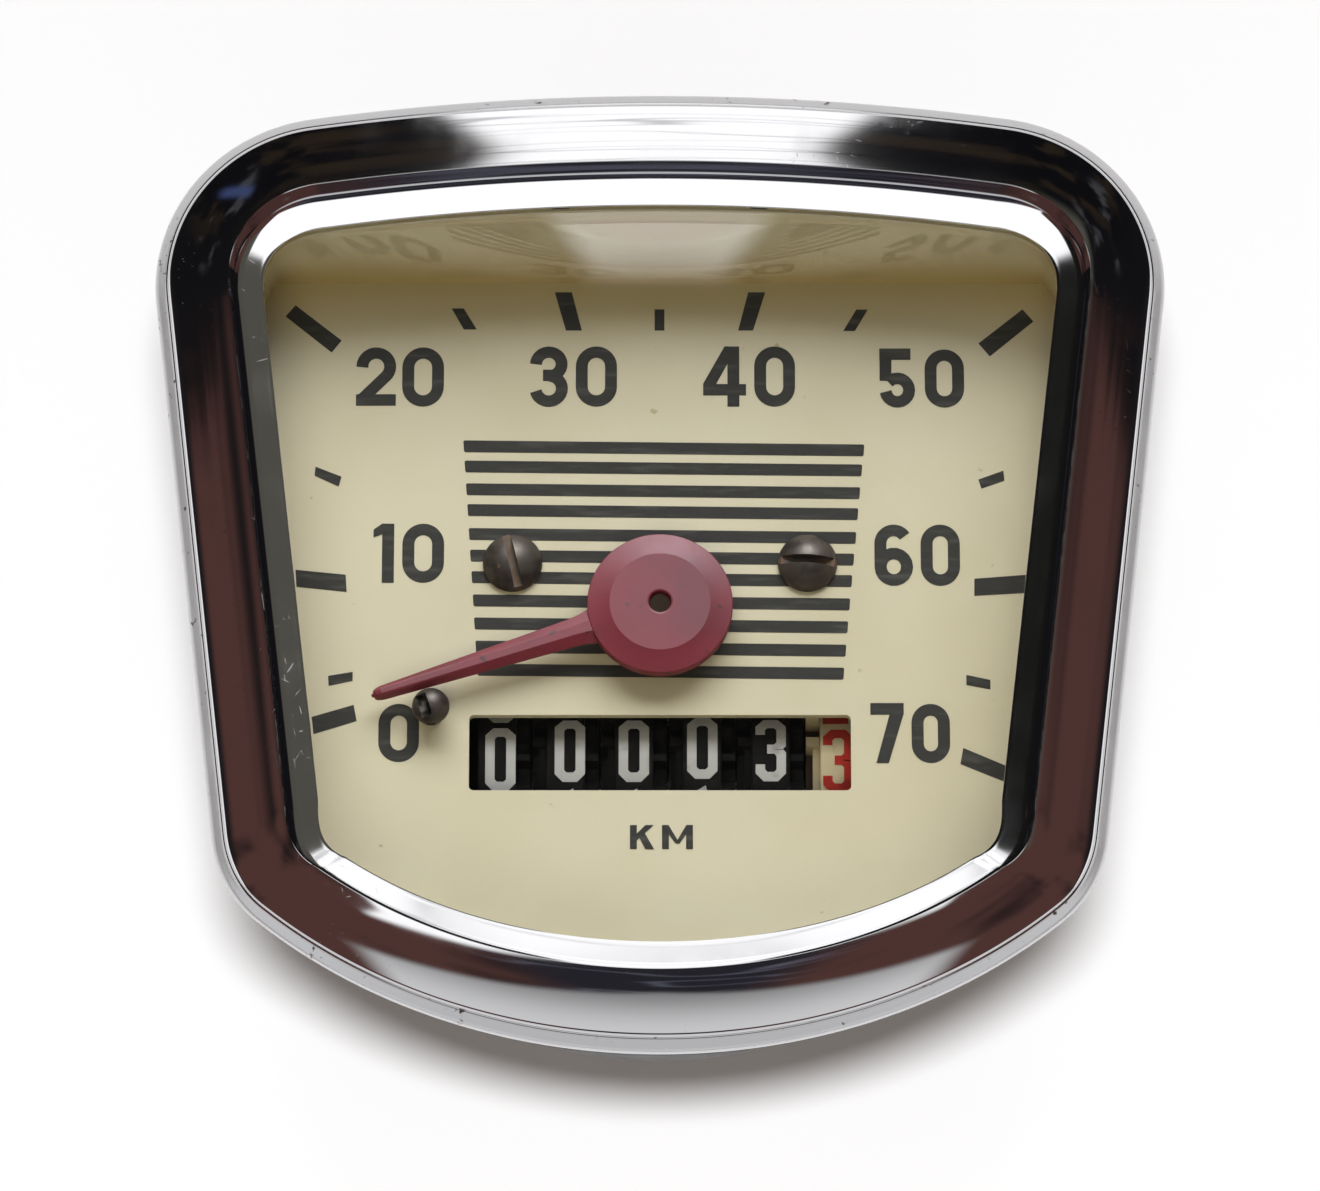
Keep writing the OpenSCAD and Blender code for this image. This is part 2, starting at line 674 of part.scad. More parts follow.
module drive_nose() {
  color("darkgray") difference() {
    union() {
      cylinder(r = nose_r, h = nose_free);
      translate([0, 0, nose_free]) cylinder(r = nose_collar_r, h = floor_z - nose_free);
      translate([0, 0, floor_z]) cylinder(r = nose_flange_r, h = nose_flange_t);
      translate([0, 0, plate_z]) cylinder(r = nose_spigot_r, h = plate_t);
    }
    translate([0, 0, -cut]) cylinder(r = nose_bore_r, h = nose_bore_depth + cut);
    cylinder(r = socket_r + head_room, h = bush_z);
    cylinder(r = spindle_r + run_fit + bush_wall, h = plate_top + cut);
    for (x = [-base_screw_x, base_screw_x])
      translate([x, 0, floor_z - cut]) cylinder(r = fix_screw_r, h = nose_flange_t + 2 * cut);
  }
}

module nose_nut() {
  color("goldenrod") translate([0, 0, nose_free]) difference() {
    cylinder(r = nut_flats / sqrt(3), h = nut_t, $fn = 6);
    translate([0, 0, -cut]) cylinder(r = nose_collar_r, h = nut_t + 2 * cut);
  }
}

module nose_washer() {
  color("silver") translate([0, 0, nose_free + nut_t]) difference() {
    cylinder(r = washer_r, h = washer_t);
    translate([0, 0, -cut]) cylinder(r = nose_collar_r, h = washer_t + 2 * cut);
  }
}

module drive_bush() {
  color("peru") translate([0, 0, bush_z]) difference() {
    cylinder(r = spindle_r + run_fit + bush_wall, h = plate_top - bush_z);
    translate([0, 0, -cut]) cylinder(r = spindle_r + run_fit, h = plate_top + cut);
  }
}

// Dial

module dial() {
  color("beige") translate([0, 0, dial_z]) linear_extrude(dial_t) difference() {
    polygon(drawn_in(dial_inset, bezel_k));
    circle(r = dial_hole_r);
    for (x = [-dial_screw_x, dial_screw_x]) translate([x, dial_screw_y]) circle(r = dial_screw_r);
    rotate(stop_angle) translate([stop_at, 0]) circle(r = stop_r / 2);
    translate([-window_w / 2, -window_y - window_h / 2 + window_corner])
      square([window_w, window_h - 2 * window_corner]);
    translate([-window_w / 2 + window_corner, -window_y - window_h / 2])
      square([window_w - 2 * window_corner, window_h]);
    for (x = [-1, 1], y = [-1, 1])
      translate([x * (window_w / 2 - window_corner), -window_y + y * (window_h / 2 - window_corner)])
        circle(r = window_corner);
  }
}

module dial_screws() {
  color("#2b2420") for (side = [-1, 1])
    translate([side * dial_screw_x, dial_screw_y, dial_top])
      screw(dial_screw_r, dial_screw_l, dial_head_r, dial_head_h, dial_slot_at[side < 0 ? 0 : 1], true);
}

module needle_stop() {
  stop_h = needle_gap + needle_t + stop_proud;
  color("#2b2420") rotate(stop_angle) translate([stop_at, 0, dial_top]) {
    intersection() {
      cylinder(r = stop_r, h = stop_h);
      translate([0, 0, stop_h - dome * stop_r]) sphere(r = dome * stop_r);
    }
    translate([0, 0, -dial_t - side_gap]) cylinder(r = stop_r / 2, h = dial_t + side_gap);
  }
}

// Movement plate, pillars and bridge

module bearing_post(x) {
  post_w = 2 * (train_shaft_r + thin_eye_wall);
  difference() {
    translate([x, cross_y - post_w / 2, plate_top]) cube([post_t, post_w, cross_z - plate_top + post_w / 2]);
    rod_x(x - cut, cross_y, cross_z, train_shaft_r + run_fit, post_t + 2 * cut);
  }
}

module base_plate() {
  color("darkgray") {
    translate([0, 0, plate_z]) linear_extrude(plate_t) difference() {
      polygon(drawn_in(case_inset + case_edge_r + plate_inset, 0, case_taper));
      circle(r = nose_spigot_r);
      translate([upright_x, 0]) circle(r = train_shaft_r + run_fit);
      for (x = [-base_screw_x, base_screw_x]) translate([x, 0]) circle(r = fix_screw_r);
      for (x = cheek_screw_at) translate([x, cheek_screw_y]) circle(r = fix_screw_r);
    }
    bearing_post(post_left_x);
    bearing_post(post_right_x);
  }
}

module base_screws() {
  color("silver") for (x = [-base_screw_x, base_screw_x]) translate([x, 0, plate_top])
    screw(fix_screw_r, plate_t + nose_flange_t, fix_head_r, fix_head_h, fix_slot_at, false);
}

module dial_pillars() {
  color("silver") for (x = [-dial_screw_x, dial_screw_x])
    translate([x, dial_screw_y, plate_top]) difference() {
      cylinder(r = pillar_r, h = dial_z - plate_top);
      translate([0, 0, dial_z - plate_top - dial_screw_l]) cylinder(r = dial_screw_r, h = dial_screw_l + cut);
    }
}

module needle_bridge() {
  eye = pillar_r + eye_wall;
  tongue = needle_shaft_r + needle_bush_wall + thin_eye_wall;
  color("silver") translate([0, 0, bridge_z]) linear_extrude(bridge_t) difference() {
    union() {
      translate([-dial_screw_x, dial_screw_y - eye]) square([2 * dial_screw_x, 2 * eye]);
      for (x = [-dial_screw_x, dial_screw_x]) translate([x, dial_screw_y]) circle(r = eye);
      translate([-tongue, 0]) square([2 * tongue, dial_screw_y]);
      circle(r = tongue);
    }
    for (x = [-dial_screw_x, dial_screw_x]) translate([x, dial_screw_y]) circle(r = pillar_r);
    circle(r = needle_shaft_r + run_fit + needle_bush_wall);
  }
}

module needle_bush() {
  color("peru") translate([0, 0, bridge_z - needle_bush_proud]) difference() {
    cylinder(r = needle_shaft_r + run_fit + needle_bush_wall, h = bridge_t + 2 * needle_bush_proud);
    translate([0, 0, -cut])
      cylinder(r = needle_shaft_r + run_fit, h = bridge_t + 2 * needle_bush_proud + 2 * cut);
  }
}

module train_bracket() {
  eye = pillar_r + eye_wall;
  end_eye = train_shaft_r + eye_wall;
  reach = [upright_x - dial_screw_x, -dial_screw_y];
  span = norm(reach);
  color("silver") translate([dial_screw_x, dial_screw_y, bracket_z]) linear_extrude(bridge_t) difference() {
    union() {
      circle(r = eye);
      translate(reach) circle(r = end_eye);
      rotate(atan2(reach[1], reach[0])) translate([0, -end_eye]) square([span, 2 * end_eye]);
    }
    circle(r = pillar_r);
    translate(reach) circle(r = train_shaft_r + run_fit);
  }
}

// Drag cup, hairspring and needle

module flux_ring() {
  foot_at = flux_r + flux_wall / 2;
  color("gray") {
    translate([0, 0, magnet_z]) difference() {
      cylinder(r = flux_edge, h = cup_top - magnet_z - cup_t);
      translate([0, 0, -cut]) cylinder(r = flux_r, h = cup_top - magnet_z + 2 * cut);
    }
    for (a = flux_foot_at) rotate(a) translate([foot_at, 0, plate_top])
      cylinder(r = flux_foot_r, h = magnet_z - plate_top + cut);
  }
}

function spiral_at(t, side) =
  let (r = collet_r + spring_t + (spring_r - collet_r - spring_t) * t + side * spring_t / 2)
    polar(r, lever_angle + 360 * spring_turns * (t - 1));

module hairspring() {
  steps = spring_turns * spring_steps;
  color("steelblue") translate([0, 0, spring_z]) linear_extrude(spring_w) polygon(concat(
    [for (i = [0 : steps]) spiral_at(i / steps, 1)],
    [for (i = [steps : -1 : 0]) spiral_at(i / steps, -1)]
  ));
}

module spring_lever() {
  span = norm([dial_screw_x, dial_screw_y]);
  near = spring_r + spring_t / 2;
  eye = pillar_r + thin_eye_wall;
  color("goldenrod") translate([0, 0, spring_z]) linear_extrude(lever_t) rotate(lever_angle) difference() {
    union() {
      translate([near, -lever_w / 2]) square([span - near, lever_w]);
      translate([span, 0]) circle(r = eye);
    }
    translate([span, 0]) circle(r = pillar_r);
  }
}

// Section of the needle's arm at x, with its width and its height
function arm_ring(x, w, h) = [
  [x, w / 2, 0], [x, w / 2, min(needle_side_h, h / 2)], [x, needle_flat * w / 2, h],
  [x, -needle_flat * w / 2, h], [x, -w / 2, min(needle_side_h, h / 2)], [x, -w / 2, 0]
];

module needle() {
  hub_low = hub_h - hub_chamfer;
  color("#8c1c28") translate([0, 0, needle_z]) difference() {
    union() {
      rotate_extrude() polygon([
        [0, -hub_skirt], [hub_r, -hub_skirt], [hub_r, hub_low], [hub_top_r, hub_h], [0, hub_h]
      ]);
      rotate(needle_rest) loft([
        arm_ring(0, needle_root_w, needle_t),
        arm_ring(needle_l - needle_tip_l, needle_tip_w, needle_t),
        arm_ring(needle_l, needle_tip_w / 2, needle_t / 2)
      ]);
    }
    translate([0, 0, -hub_skirt - cut]) cylinder(r = needle_shaft_r, h = hub_skirt + hub_h + 2 * cut);
  }
}

module needle_shaft() {
  top = needle_z + hub_h - hub_recess;
  color("silver") {
    translate([0, 0, magnet_top - needle_pivot_l])
      cylinder(r = needle_pivot_r, h = needle_pivot_l + air_gap);
    translate([0, 0, magnet_top + air_gap]) cylinder(r = needle_shaft_r, h = top - magnet_top - air_gap);
  }
}

module drag_cup() {
  skirt_z = magnet_z + air_gap;
  color("lightgray") difference() {
    translate([0, 0, skirt_z]) cylinder(r = cup_r, h = cup_top - skirt_z);
    translate([0, 0, skirt_z - cut]) cylinder(r = cup_r - cup_t, h = cup_top - cup_t - skirt_z + cut);
    translate([0, 0, skirt_z]) cylinder(r = needle_shaft_r, h = cup_top);
  }
}

module cup_collet() {
  color("goldenrod") translate([0, 0, cup_top]) difference() {
    cylinder(r = collet_r, h = collet_h);
    translate([0, 0, -cut]) cylinder(r = needle_shaft_r, h = collet_h + 2 * cut);
  }
}

// Drive spindle and magnet

module drive_spindle() {
  socket_z = nose_bore_depth + side_gap;
  worm_z = plate_top + head_room;
  color("silver") difference() {
    union() {
      translate([0, 0, socket_z]) cylinder(r = socket_r, h = socket_l);
      translate([0, 0, socket_z]) cylinder(r = spindle_r, h = worm_z - socket_z);
      translate([0, 0, socket_z]) cylinder(r = train_shaft_r, h = magnet_top - socket_z);
    }
    translate([-socket_square / 2, -socket_square / 2, socket_z - cut])
      cube([socket_square, socket_square, socket_l + cut - socket_floor]);
    translate([0, 0, magnet_top - needle_pivot_l - side_gap])
      cylinder(r = needle_pivot_r + run_fit, h = needle_pivot_l + side_gap + cut);
  }
}

module drive_worm() {
  color("silver") translate([0, 0, cross_z])
    worm(train_module, train_worm_r, train_worm_l, train_shaft_r, 90, -1);
}

module magnet_boss() {
  color("goldenrod") translate([0, 0, boss_z]) difference() {
    union() {
      cylinder(r = boss_flange_r, h = boss_flange_t);
      cylinder(r = boss_r, h = magnet_top - boss_z);
    }
    translate([0, 0, -cut]) cylinder(r = train_shaft_r, h = magnet_top - boss_z + 2 * cut);
  }
}

module magnet() {
  color("dimgray") translate([0, 0, magnet_z]) difference() {
    cylinder(r = magnet_r, h = magnet_t);
    translate([0, 0, -cut]) cylinder(r = boss_r, h = magnet_t + 2 * cut);
  }
}

// Worm stages

module cross_shaft() {
  color("silver") rod_x(post_left_x, cross_y, cross_z, train_shaft_r, post_right_x + post_t - post_left_x);
}

module cross_wheel() {
  color("goldenrod") translate([0, cross_y, cross_z]) rotate([0, 90, 0])
    worm_wheel(train_module, train_teeth, train_shaft_r, 90);
}

module cross_worm() {
  color("silver") translate([upright_x, cross_y, cross_z]) rotate([0, 90, 0])
    worm(train_module, train_worm_r, train_worm_l, train_shaft_r, -90, 1);
}

module upright_shaft() {
  color("silver") translate([upright_x, 0, plate_z + head_room])
    cylinder(r = train_shaft_r, h = bracket_z + bridge_t - plate_z - head_room);
}

module upright_wheel() {
  color("goldenrod") translate([upright_x, 0, cross_z])
    worm_wheel(train_module, train_teeth, train_shaft_r, -90);
}

module upright_worm() {
  color("silver") translate([upright_x, 0, drum_z])
    worm(drum_module, drum_worm_r, drum_worm_l, train_shaft_r, 90, 1);
}

// Odometer

module cheek(x, foot_x, screw_x) {
  edge = pinion_axle_r + cheek_edge;
  crown = axle_r + cheek_edge;
  color("darkgray") difference() {
    union() {
      translate([x, 0, 0]) rotate([90, 0, 90]) linear_extrude(cheek_t) polygon([
        [foot_y0, plate_top], [foot_y1, plate_top], [foot_y1, drum_z],
        [-drum_y + crown, drum_z + crown], [-drum_y - crown, drum_z + crown],
        [pinion_y - edge, pinion_z + edge], [pinion_y - edge, pinion_z - edge]
      ]);
      translate([foot_x, foot_y0 + side_gap, plate_top])
        cube([foot_l - cheek_t / 2, foot_y1 - foot_y0 - 2 * side_gap, foot_t]);
    }
    rod_x(x - cut, -drum_y, drum_z, axle_r, cheek_t + 2 * cut);
    rod_x(x - cut, pinion_y, pinion_z, pinion_axle_r, cheek_t + 2 * cut);
    translate([screw_x, cheek_screw_y, plate_top - cut]) cylinder(r = fix_screw_r, h = foot_t + 2 * cut);
  }
}

module cheek_left() {
  cheek(cheek_left_x, cheek_left_x + cheek_t / 2, cheek_screw_at[0]);
}

module cheek_right() {
  cheek(cheek_right_x, cheek_right_x + cheek_t - foot_l, cheek_screw_at[1]);
}

module cheek_screws() {
  color("silver") for (x = cheek_screw_at) translate([x, cheek_screw_y, plate_top + foot_t])
    screw(fix_screw_r, foot_t + plate_t, fix_head_r, fix_head_h, 2 * fix_slot_at, false);
}

module drum_axle() {
  color("silver") rod_x(cheek_left_x, -drum_y, drum_z, axle_r, cheek_right_x + cheek_t - cheek_left_x);
}

module pinion_axle() {
  color("silver") rod_x(cheek_left_x, pinion_y, pinion_z, pinion_axle_r,
    cheek_right_x + cheek_t - cheek_left_x);
}

// Toothed ring that a carry pinion turns
module drum_ring() {
  root = ring_r - carry_dedendum;
  tip = ring_r + carry_addendum;
  w_root = ring_tooth_root * carry_module;
  w_tip = ring_tooth_tip * carry_module;
  linear_extrude(drum_flank) polygon(gear_points(ring_teeth, root, tip, w_root, w_tip, 0));
}

// Disc that locks the next pinion, with the notch and two teeth that turn it once a turn
module carry_disc() {
  tooth = 360 / ring_teeth;
  low_w = ring_tooth_root * carry_module / 2;
  tip_w = ring_tooth_tip * carry_module / 2;
  notch = notch_half * tooth;
  reach = 2 * carry_disc_r;
  linear_extrude(drum_flank) {
    difference() {
      circle(r = carry_disc_r);
      polygon([[0, 0], polar(reach, carry_at - notch), polar(reach, carry_at + notch)]);
    }
    circle(r = ring_r - carry_dedendum);
    for (a = [carry_at - tooth / 2, carry_at + tooth / 2]) rotate(a) polygon([
      [ring_r / 2, -low_w], [ring_r + carry_addendum, -tip_w],
      [ring_r + carry_addendum, tip_w], [ring_r / 2, low_w]
    ]);
  }
}

// A number drum: place counts from the left, with a ring on its right and a disc on its left
module drum(place, has_ring, has_disc, left, right) {
  translate([drum_x0 + place * drum_pitch, -drum_y, drum_z]) rotate([0, 90, 0]) difference() {
    union() {
      translate([0, 0, -drum_band / 2]) cylinder(r = drum_r, h = drum_band);
      if (has_ring) translate([0, 0, drum_band / 2]) drum_ring();
      if (has_disc) translate([0, 0, -drum_band / 2 - drum_flank]) carry_disc();
      translate([0, 0, -left]) cylinder(r = drum_hub_r, h = left + right);
    }
    translate([0, 0, -left - cut]) cylinder(r = axle_r + run_fit, h = left + right + 2 * cut);
  }
}

module black_drum(place, has_disc) {
  reach = drum_band / 2 + drum_flank;
  color("#1c1c1e") drum(place, true, has_disc, reach, reach);
}

module drum_tenths() {
  left = drum_band / 2 + drum_flank;
  color("wheat") drum(drum_count - 1, false, true, left, cheek_right_x - side_gap - tenths_x);
}

module drum_wheel() {
  color("goldenrod") translate([upright_x, -drum_y, drum_z]) rotate([0, 90, 0])
    worm_wheel(drum_module, drum_wheel_teeth, drum_hub_r, 90);
}

module drum_ones() {
  black_drum(4, true);
}

module drum_tens() {
  black_drum(3, true);
}

module drum_hundreds() {
  black_drum(2, true);
}

module drum_thousands() {
  black_drum(1, true);
}

module drum_ten_thousands() {
  black_drum(0, false);
}

// A carry pinion beside the drum that it turns: every other tooth is wide enough to ride on the disc
module pinion(place) {
  root = pinion_r - carry_dedendum;
  tip = pinion_r + carry_addendum;
  start = drum_x0 + place * drum_pitch + drum_band / 2 + side_gap / 2;
  full = 2 * drum_flank;
  w_root = pinion_tooth_root * carry_module;
  w_tip = pinion_tooth_tip * carry_module;
  color("ivory") translate([start, pinion_y, pinion_z]) rotate([0, 90, 0]) difference() {
    union() {
      linear_extrude(drum_flank) polygon(gear_points(pinion_teeth, root, tip, w_root, w_tip, 0));
      linear_extrude(full) polygon(gear_points(pinion_teeth / 2, root, tip, w_root, w_tip, 0));
    }
    translate([0, 0, -cut]) cylinder(r = pinion_axle_r + run_fit, h = full + 2 * cut);
  }
}

module pinion_ones() {
  pinion(4);
}

module pinion_tens() {
  pinion(3);
}

module pinion_hundreds() {
  pinion(2);
}

module pinion_thousands() {
  pinion(1);
}

module pinion_ten_thousands() {
  pinion(0);
}

bezel();
glass();
glass_seal();
spacer_frame();
dial();
dial_screws();
needle_stop();
panel_gasket();
case_shell();
mounting_studs();
drive_nose();
nose_nut();
nose_washer();
drive_bush();
base_plate();
base_screws();
dial_pillars();
needle_bridge();
needle_bush();
spring_lever();
hairspring();
flux_ring();
cheek_left();
cheek_right();
cheek_screws();
drum_axle();
pinion_axle();
train_bracket();
needle();
needle_shaft();
drag_cup();
cup_collet();
drive_spindle();
drive_worm();
magnet_boss();
magnet();
cross_shaft();
cross_wheel();
cross_worm();
upright_shaft();
upright_wheel();
upright_worm();
drum_tenths();
drum_wheel();
drum_ones();
drum_tens();
drum_hundreds();
drum_thousands();
drum_ten_thousands();
pinion_ones();
pinion_tens();
pinion_hundreds();
pinion_thousands();
pinion_ten_thousands();
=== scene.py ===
"""Panel speedometer: fine pieces, finishes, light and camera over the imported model."""
import json
import math

import bmesh
import bpy
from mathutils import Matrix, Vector
from mathutils.geometry import tessellate_polygon

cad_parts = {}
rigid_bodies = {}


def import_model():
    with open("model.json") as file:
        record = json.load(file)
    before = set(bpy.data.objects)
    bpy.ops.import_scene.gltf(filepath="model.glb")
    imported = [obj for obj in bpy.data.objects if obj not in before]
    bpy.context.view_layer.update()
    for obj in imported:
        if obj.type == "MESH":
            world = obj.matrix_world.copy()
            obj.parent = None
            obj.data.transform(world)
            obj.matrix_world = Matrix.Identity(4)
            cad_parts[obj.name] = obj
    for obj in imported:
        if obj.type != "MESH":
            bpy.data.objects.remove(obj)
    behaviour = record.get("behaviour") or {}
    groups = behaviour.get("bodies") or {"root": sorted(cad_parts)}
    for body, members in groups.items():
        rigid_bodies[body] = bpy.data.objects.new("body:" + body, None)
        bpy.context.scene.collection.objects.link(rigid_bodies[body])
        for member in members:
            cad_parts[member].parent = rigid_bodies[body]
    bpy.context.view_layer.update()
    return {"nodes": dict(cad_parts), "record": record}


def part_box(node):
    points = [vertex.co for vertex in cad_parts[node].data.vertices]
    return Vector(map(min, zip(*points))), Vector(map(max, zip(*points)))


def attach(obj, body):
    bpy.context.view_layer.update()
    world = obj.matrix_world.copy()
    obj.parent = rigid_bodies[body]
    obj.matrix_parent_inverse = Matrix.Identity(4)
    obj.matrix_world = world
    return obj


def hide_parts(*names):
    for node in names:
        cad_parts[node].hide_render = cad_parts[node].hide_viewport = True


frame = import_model()
scene = bpy.context.scene

# Lengths are in millimetres up to the point where a mesh is made
MM = 0.001


def low(node):
    return [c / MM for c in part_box(node)[0]]


def high(node):
    return [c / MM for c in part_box(node)[1]]


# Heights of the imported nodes
CROWN = 2.3
HUB_DROP = 0.4
RIM_Z = high("bezel")[2] - CROWN
HEM_Z = low("bezel")[2]
GLASS_TOP = high("glass")[2]
SEAT_Z = low("panel_gasket")[2]
GASKET_TOP = high("panel_gasket")[2]
DIAL_TOP = high("dial")[2]
SPACER_TOP = high("spacer_frame")[2]
BACK_Z = low("case_shell")[2]
NEEDLE_Z = low("needle")[2] + HUB_DROP

# Sizes and places that pieces share
WALL = 0.8
CASE_FLOOR = BACK_Z + WALL
FLANGE_U = 0.7
NECK_R = 6.6
NUT_Z, NUT_TOP, WASHER_TOP = 8.0, 11.0, 11.6
STUD_X, STUD_Y, STUD_NECK_R = 17, 8, 3.0
SCREW_X, SCREW_Y = 11.9, 4.1
DRUM_R = 9.3
DRUM_Y = (low("drum_tens")[1] + high("drum_tens")[1]) / 2
DRUM_Z = (low("drum_tens")[2] + high("drum_tens")[2]) / 2

# Turned solids close at this radius; points this near, in metres, are joined
AXIS_R = 0.01
WELD = 1e-7

# Outline of the rim: arcs and a straight flank on each side, and the steps on each
TOP_C, TOP_R, TOP_ARC = (26.2, 25.0), 14.5, 197.0
LOW_C, LOW_R, LOW_ARC = (25.2, -20.3), 10.2, 50.0
LOW_STEPS, CORNER_STEPS, FLANK_STEPS, TOP_CORNER_STEPS, TOP_STEPS = 58, 26, 37, 36, 47

# Bezel: extra width at the top, less of it below, the ridge's place, and how the foot is flattened
BEZEL_K = 9.8 / 8.8 - 1
LOW_LEAN, CORNER_LEAN = 0.77, 4.2
RIDGE_U = 6.2
FOOT_LIFT, FOOT_START = 0.55, 0.75


def rim_points(low_r=LOW_R):
    """Points and outward normals of the outline; the lower corners may be rounder than the rim's."""
    low_cy = LOW_C[1] + math.sqrt((LOW_ARC - LOW_R) ** 2 - LOW_C[0] ** 2)
    top_cy = TOP_C[1] - math.sqrt((TOP_ARC - TOP_R) ** 2 - TOP_C[0] ** 2)
    dx, dy = LOW_C[0] - TOP_C[0], LOW_C[1] - TOP_C[1]
    side = math.atan2(dy, dx) + math.acos((TOP_R - LOW_R) / math.hypot(dx, dy))
    c, d = math.cos(side), math.sin(side)

    # Centre of the corner that touches both the flank and the lower arc
    reach = LOW_C[0] * c + LOW_C[1] * d + LOW_R - low_r
    qx, qy = reach * c, reach * d - low_cy
    along = qx * d - qy * c
    t = math.sqrt(along ** 2 - qx * qx - qy * qy + (LOW_ARC - low_r) ** 2) - along
    corner = (qx + t * d, qy - t * c + low_cy)
    low_join = math.atan2(corner[1] - low_cy, corner[0])
    top_join = math.atan2(TOP_C[1] - top_cy, TOP_C[0])

    def sweep(cx, cy, r, a0, a1, n):
        turns = [a0 + (a1 - a0) * i / n for i in range(n)]
        return [(cx + r * math.cos(a), cy + r * math.sin(a), math.cos(a), math.sin(a)) for a in turns]

    ax, ay = corner[0] + low_r * c, corner[1] + low_r * d
    bx, by = TOP_C[0] + TOP_R * c, TOP_C[1] + TOP_R * d
    right = sweep(0, low_cy, LOW_ARC, -math.pi / 2, low_join, LOW_STEPS)
    right += sweep(*corner, low_r, low_join, side, CORNER_STEPS)
    for i in range(FLANK_STEPS):
        right.append((ax + (bx - ax) * i / FLANK_STEPS, ay + (by - ay) * i / FLANK_STEPS, c, d))
    right += sweep(*TOP_C, TOP_R, side, top_join, TOP_CORNER_STEPS)
    right += sweep(0, top_cy, TOP_ARC, top_join, math.pi / 2, TOP_STEPS)
    right.append((0, top_cy + TOP_ARC, 0.0, 1.0))
    return right + [(-x, y, -nx, ny) for x, y, nx, ny in right[-2:0:-1]]


RIM = rim_points()


def ring(u, z, k=0.0, share=1.0, y_max=None, rim=RIM, lift=0.0):
    """The outline moved in by u, at height z.

    k moves it further in at the top and the bottom, but not at the lower corners. lift flattens the foot.
    """
    loop = []
    for x, y, nx, ny in rim:
        lean = ny * ny if ny > 0 else ny * ny * (LOW_LEAN - CORNER_LEAN * (1 - ny * ny))
        foot = max(0.0, -ny - FOOT_START) / (1 - FOOT_START)
        v = u * (1 + k * lean) + lift * max(0.0, 1 - u / RIDGE_U) * foot ** 2
        py = share * (y - v * ny)
        loop.append((share * (x - v * nx), py if y_max is None else min(py, y_max), z))
    return loop


# Mesh building

class Shape:
    """Points and faces in millimetres; rings of equal length give a skin."""

    def __init__(self, rings=(), closed=False):
        self.verts, self.faces = [], []
        if rings:
            self.loops(rings, closed)

    def add(self, verts, faces):
        n = len(self.verts)
        self.verts += verts
        self.faces += [[i + n for i in f] for f in faces]

    def loops(self, rings, closed=False, caps=True):
        n, m = len(rings[0]), len(rings)
        faces = []
        for j in range(m if closed else m - 1):
            a, b = j * n, (j + 1) % m * n
            faces += [(a + i, a + (i + 1) % n, b + (i + 1) % n, b + i) for i in range(n)]
        if caps and not closed:
            faces += [list(range(n))[::-1], [(m - 1) * n + i for i in range(n)]]
        self.add([p for r in rings for p in r], faces)

    def holed(self, outer, holes):
        loops = [outer] + holes
        tris = tessellate_polygon([[Vector(p) for p in loop] for loop in loops])
        self.add([p for loop in loops for p in loop], tris)

    def prism(self, outline, at, depth):
        """Outline in a plane, placed by at(x, y, height), closed between the two depths."""
        self.loops([[at(x, y, h) for x, y in outline] for h in depth])


def polar(r, a):
    return r * math.cos(a), r * math.sin(a)


def circle(r, z, n, at):
    points = [polar(r, 2 * math.pi * i / n) for i in range(n)]
    return [(at[0] + x, at[1] + y, z) for x, y in points]


def turned(profile, n, at=(0, 0, 0)):
    return [[(x, y, z + at[2]) for x, y, z in circle(r, z, n, at)] for r, z in profile]


def mesh_of(name, shape, tags=None):
    """A mesh in metres with its faces turned outward; tags are values at its points."""
    mesh = bpy.data.meshes.new(name)
    mesh.from_pydata([(x * MM, y * MM, z * MM) for x, y, z in shape.verts], [], shape.faces)
    for tag, values in (tags or {}).items():
        mesh.attributes.new(tag, "FLOAT", "POINT").data.foreach_set("value", values)
    bm = bmesh.new()
    bm.from_mesh(mesh)
    bmesh.ops.remove_doubles(bm, verts=bm.verts, dist=WELD)
    bmesh.ops.recalc_face_normals(bm, faces=bm.faces)
    bm.to_mesh(mesh)
    bm.free()
    return mesh


def make(name, shape, body, slot, stands_for=(), sharp=32.0, tags=None, material=None):
    """A piece on a body, in place of some nodes, with its slot's finish or another."""
    mesh = mesh_of(name, shape, tags)
    mesh.shade_smooth()
    mesh.set_sharp_from_angle(angle=math.radians(sharp))
    mesh.materials.append(material or FINISH[slot])
    piece = bpy.data.objects.new(name, mesh)
    scene.collection.objects.link(piece)
    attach(piece, body)
    if stands_for:
        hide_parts(*stands_for)
    return piece


def thread(r, depth, pitch, z0, z1, n):
    """Rings of a V thread between two heights, running out at both ends."""
    per_turn, steep, crest = 8, 1.25, 0.12
    steps = math.ceil((z1 - z0) / pitch * per_turn)
    rings = []
    for j in range(steps + 1):
        z = z0 + (z1 - z0) * j / steps
        fade = min(1.0, j / per_turn, (steps - j) / per_turn)
        loop = []
        for i in range(n):
            t = (z / pitch - i / n) % 1.0
            cut = min(1.0, max(0.0, steep * (1 - abs(2 * t - 1)) - crest))
            rr = r - depth * cut * fade
            a = 2 * math.pi * i / n
            loop.append((*polar(rr, a), z))
        rings.append(loop)
    return rings


# Finishes

def linear(rgb):
    return [c / 255 / 12.92 if c <= 10 else ((c / 255 + 0.055) / 1.055) ** 2.4 for c in rgb]


def feed(tree, socket, value):
    """Link a node's output to a socket, or give the socket a plain value."""
    if isinstance(value, bpy.types.NodeSocket):
        tree.links.new(value, socket)
    else:
        socket.default_value = value


def add_node(tree, kind, links=(), **values):
    n = tree.nodes.new(kind)
    for key, value in values.items():
        setattr(n, key, value)
    for key, value in links:
        feed(tree, n.inputs[key], value)
    return n


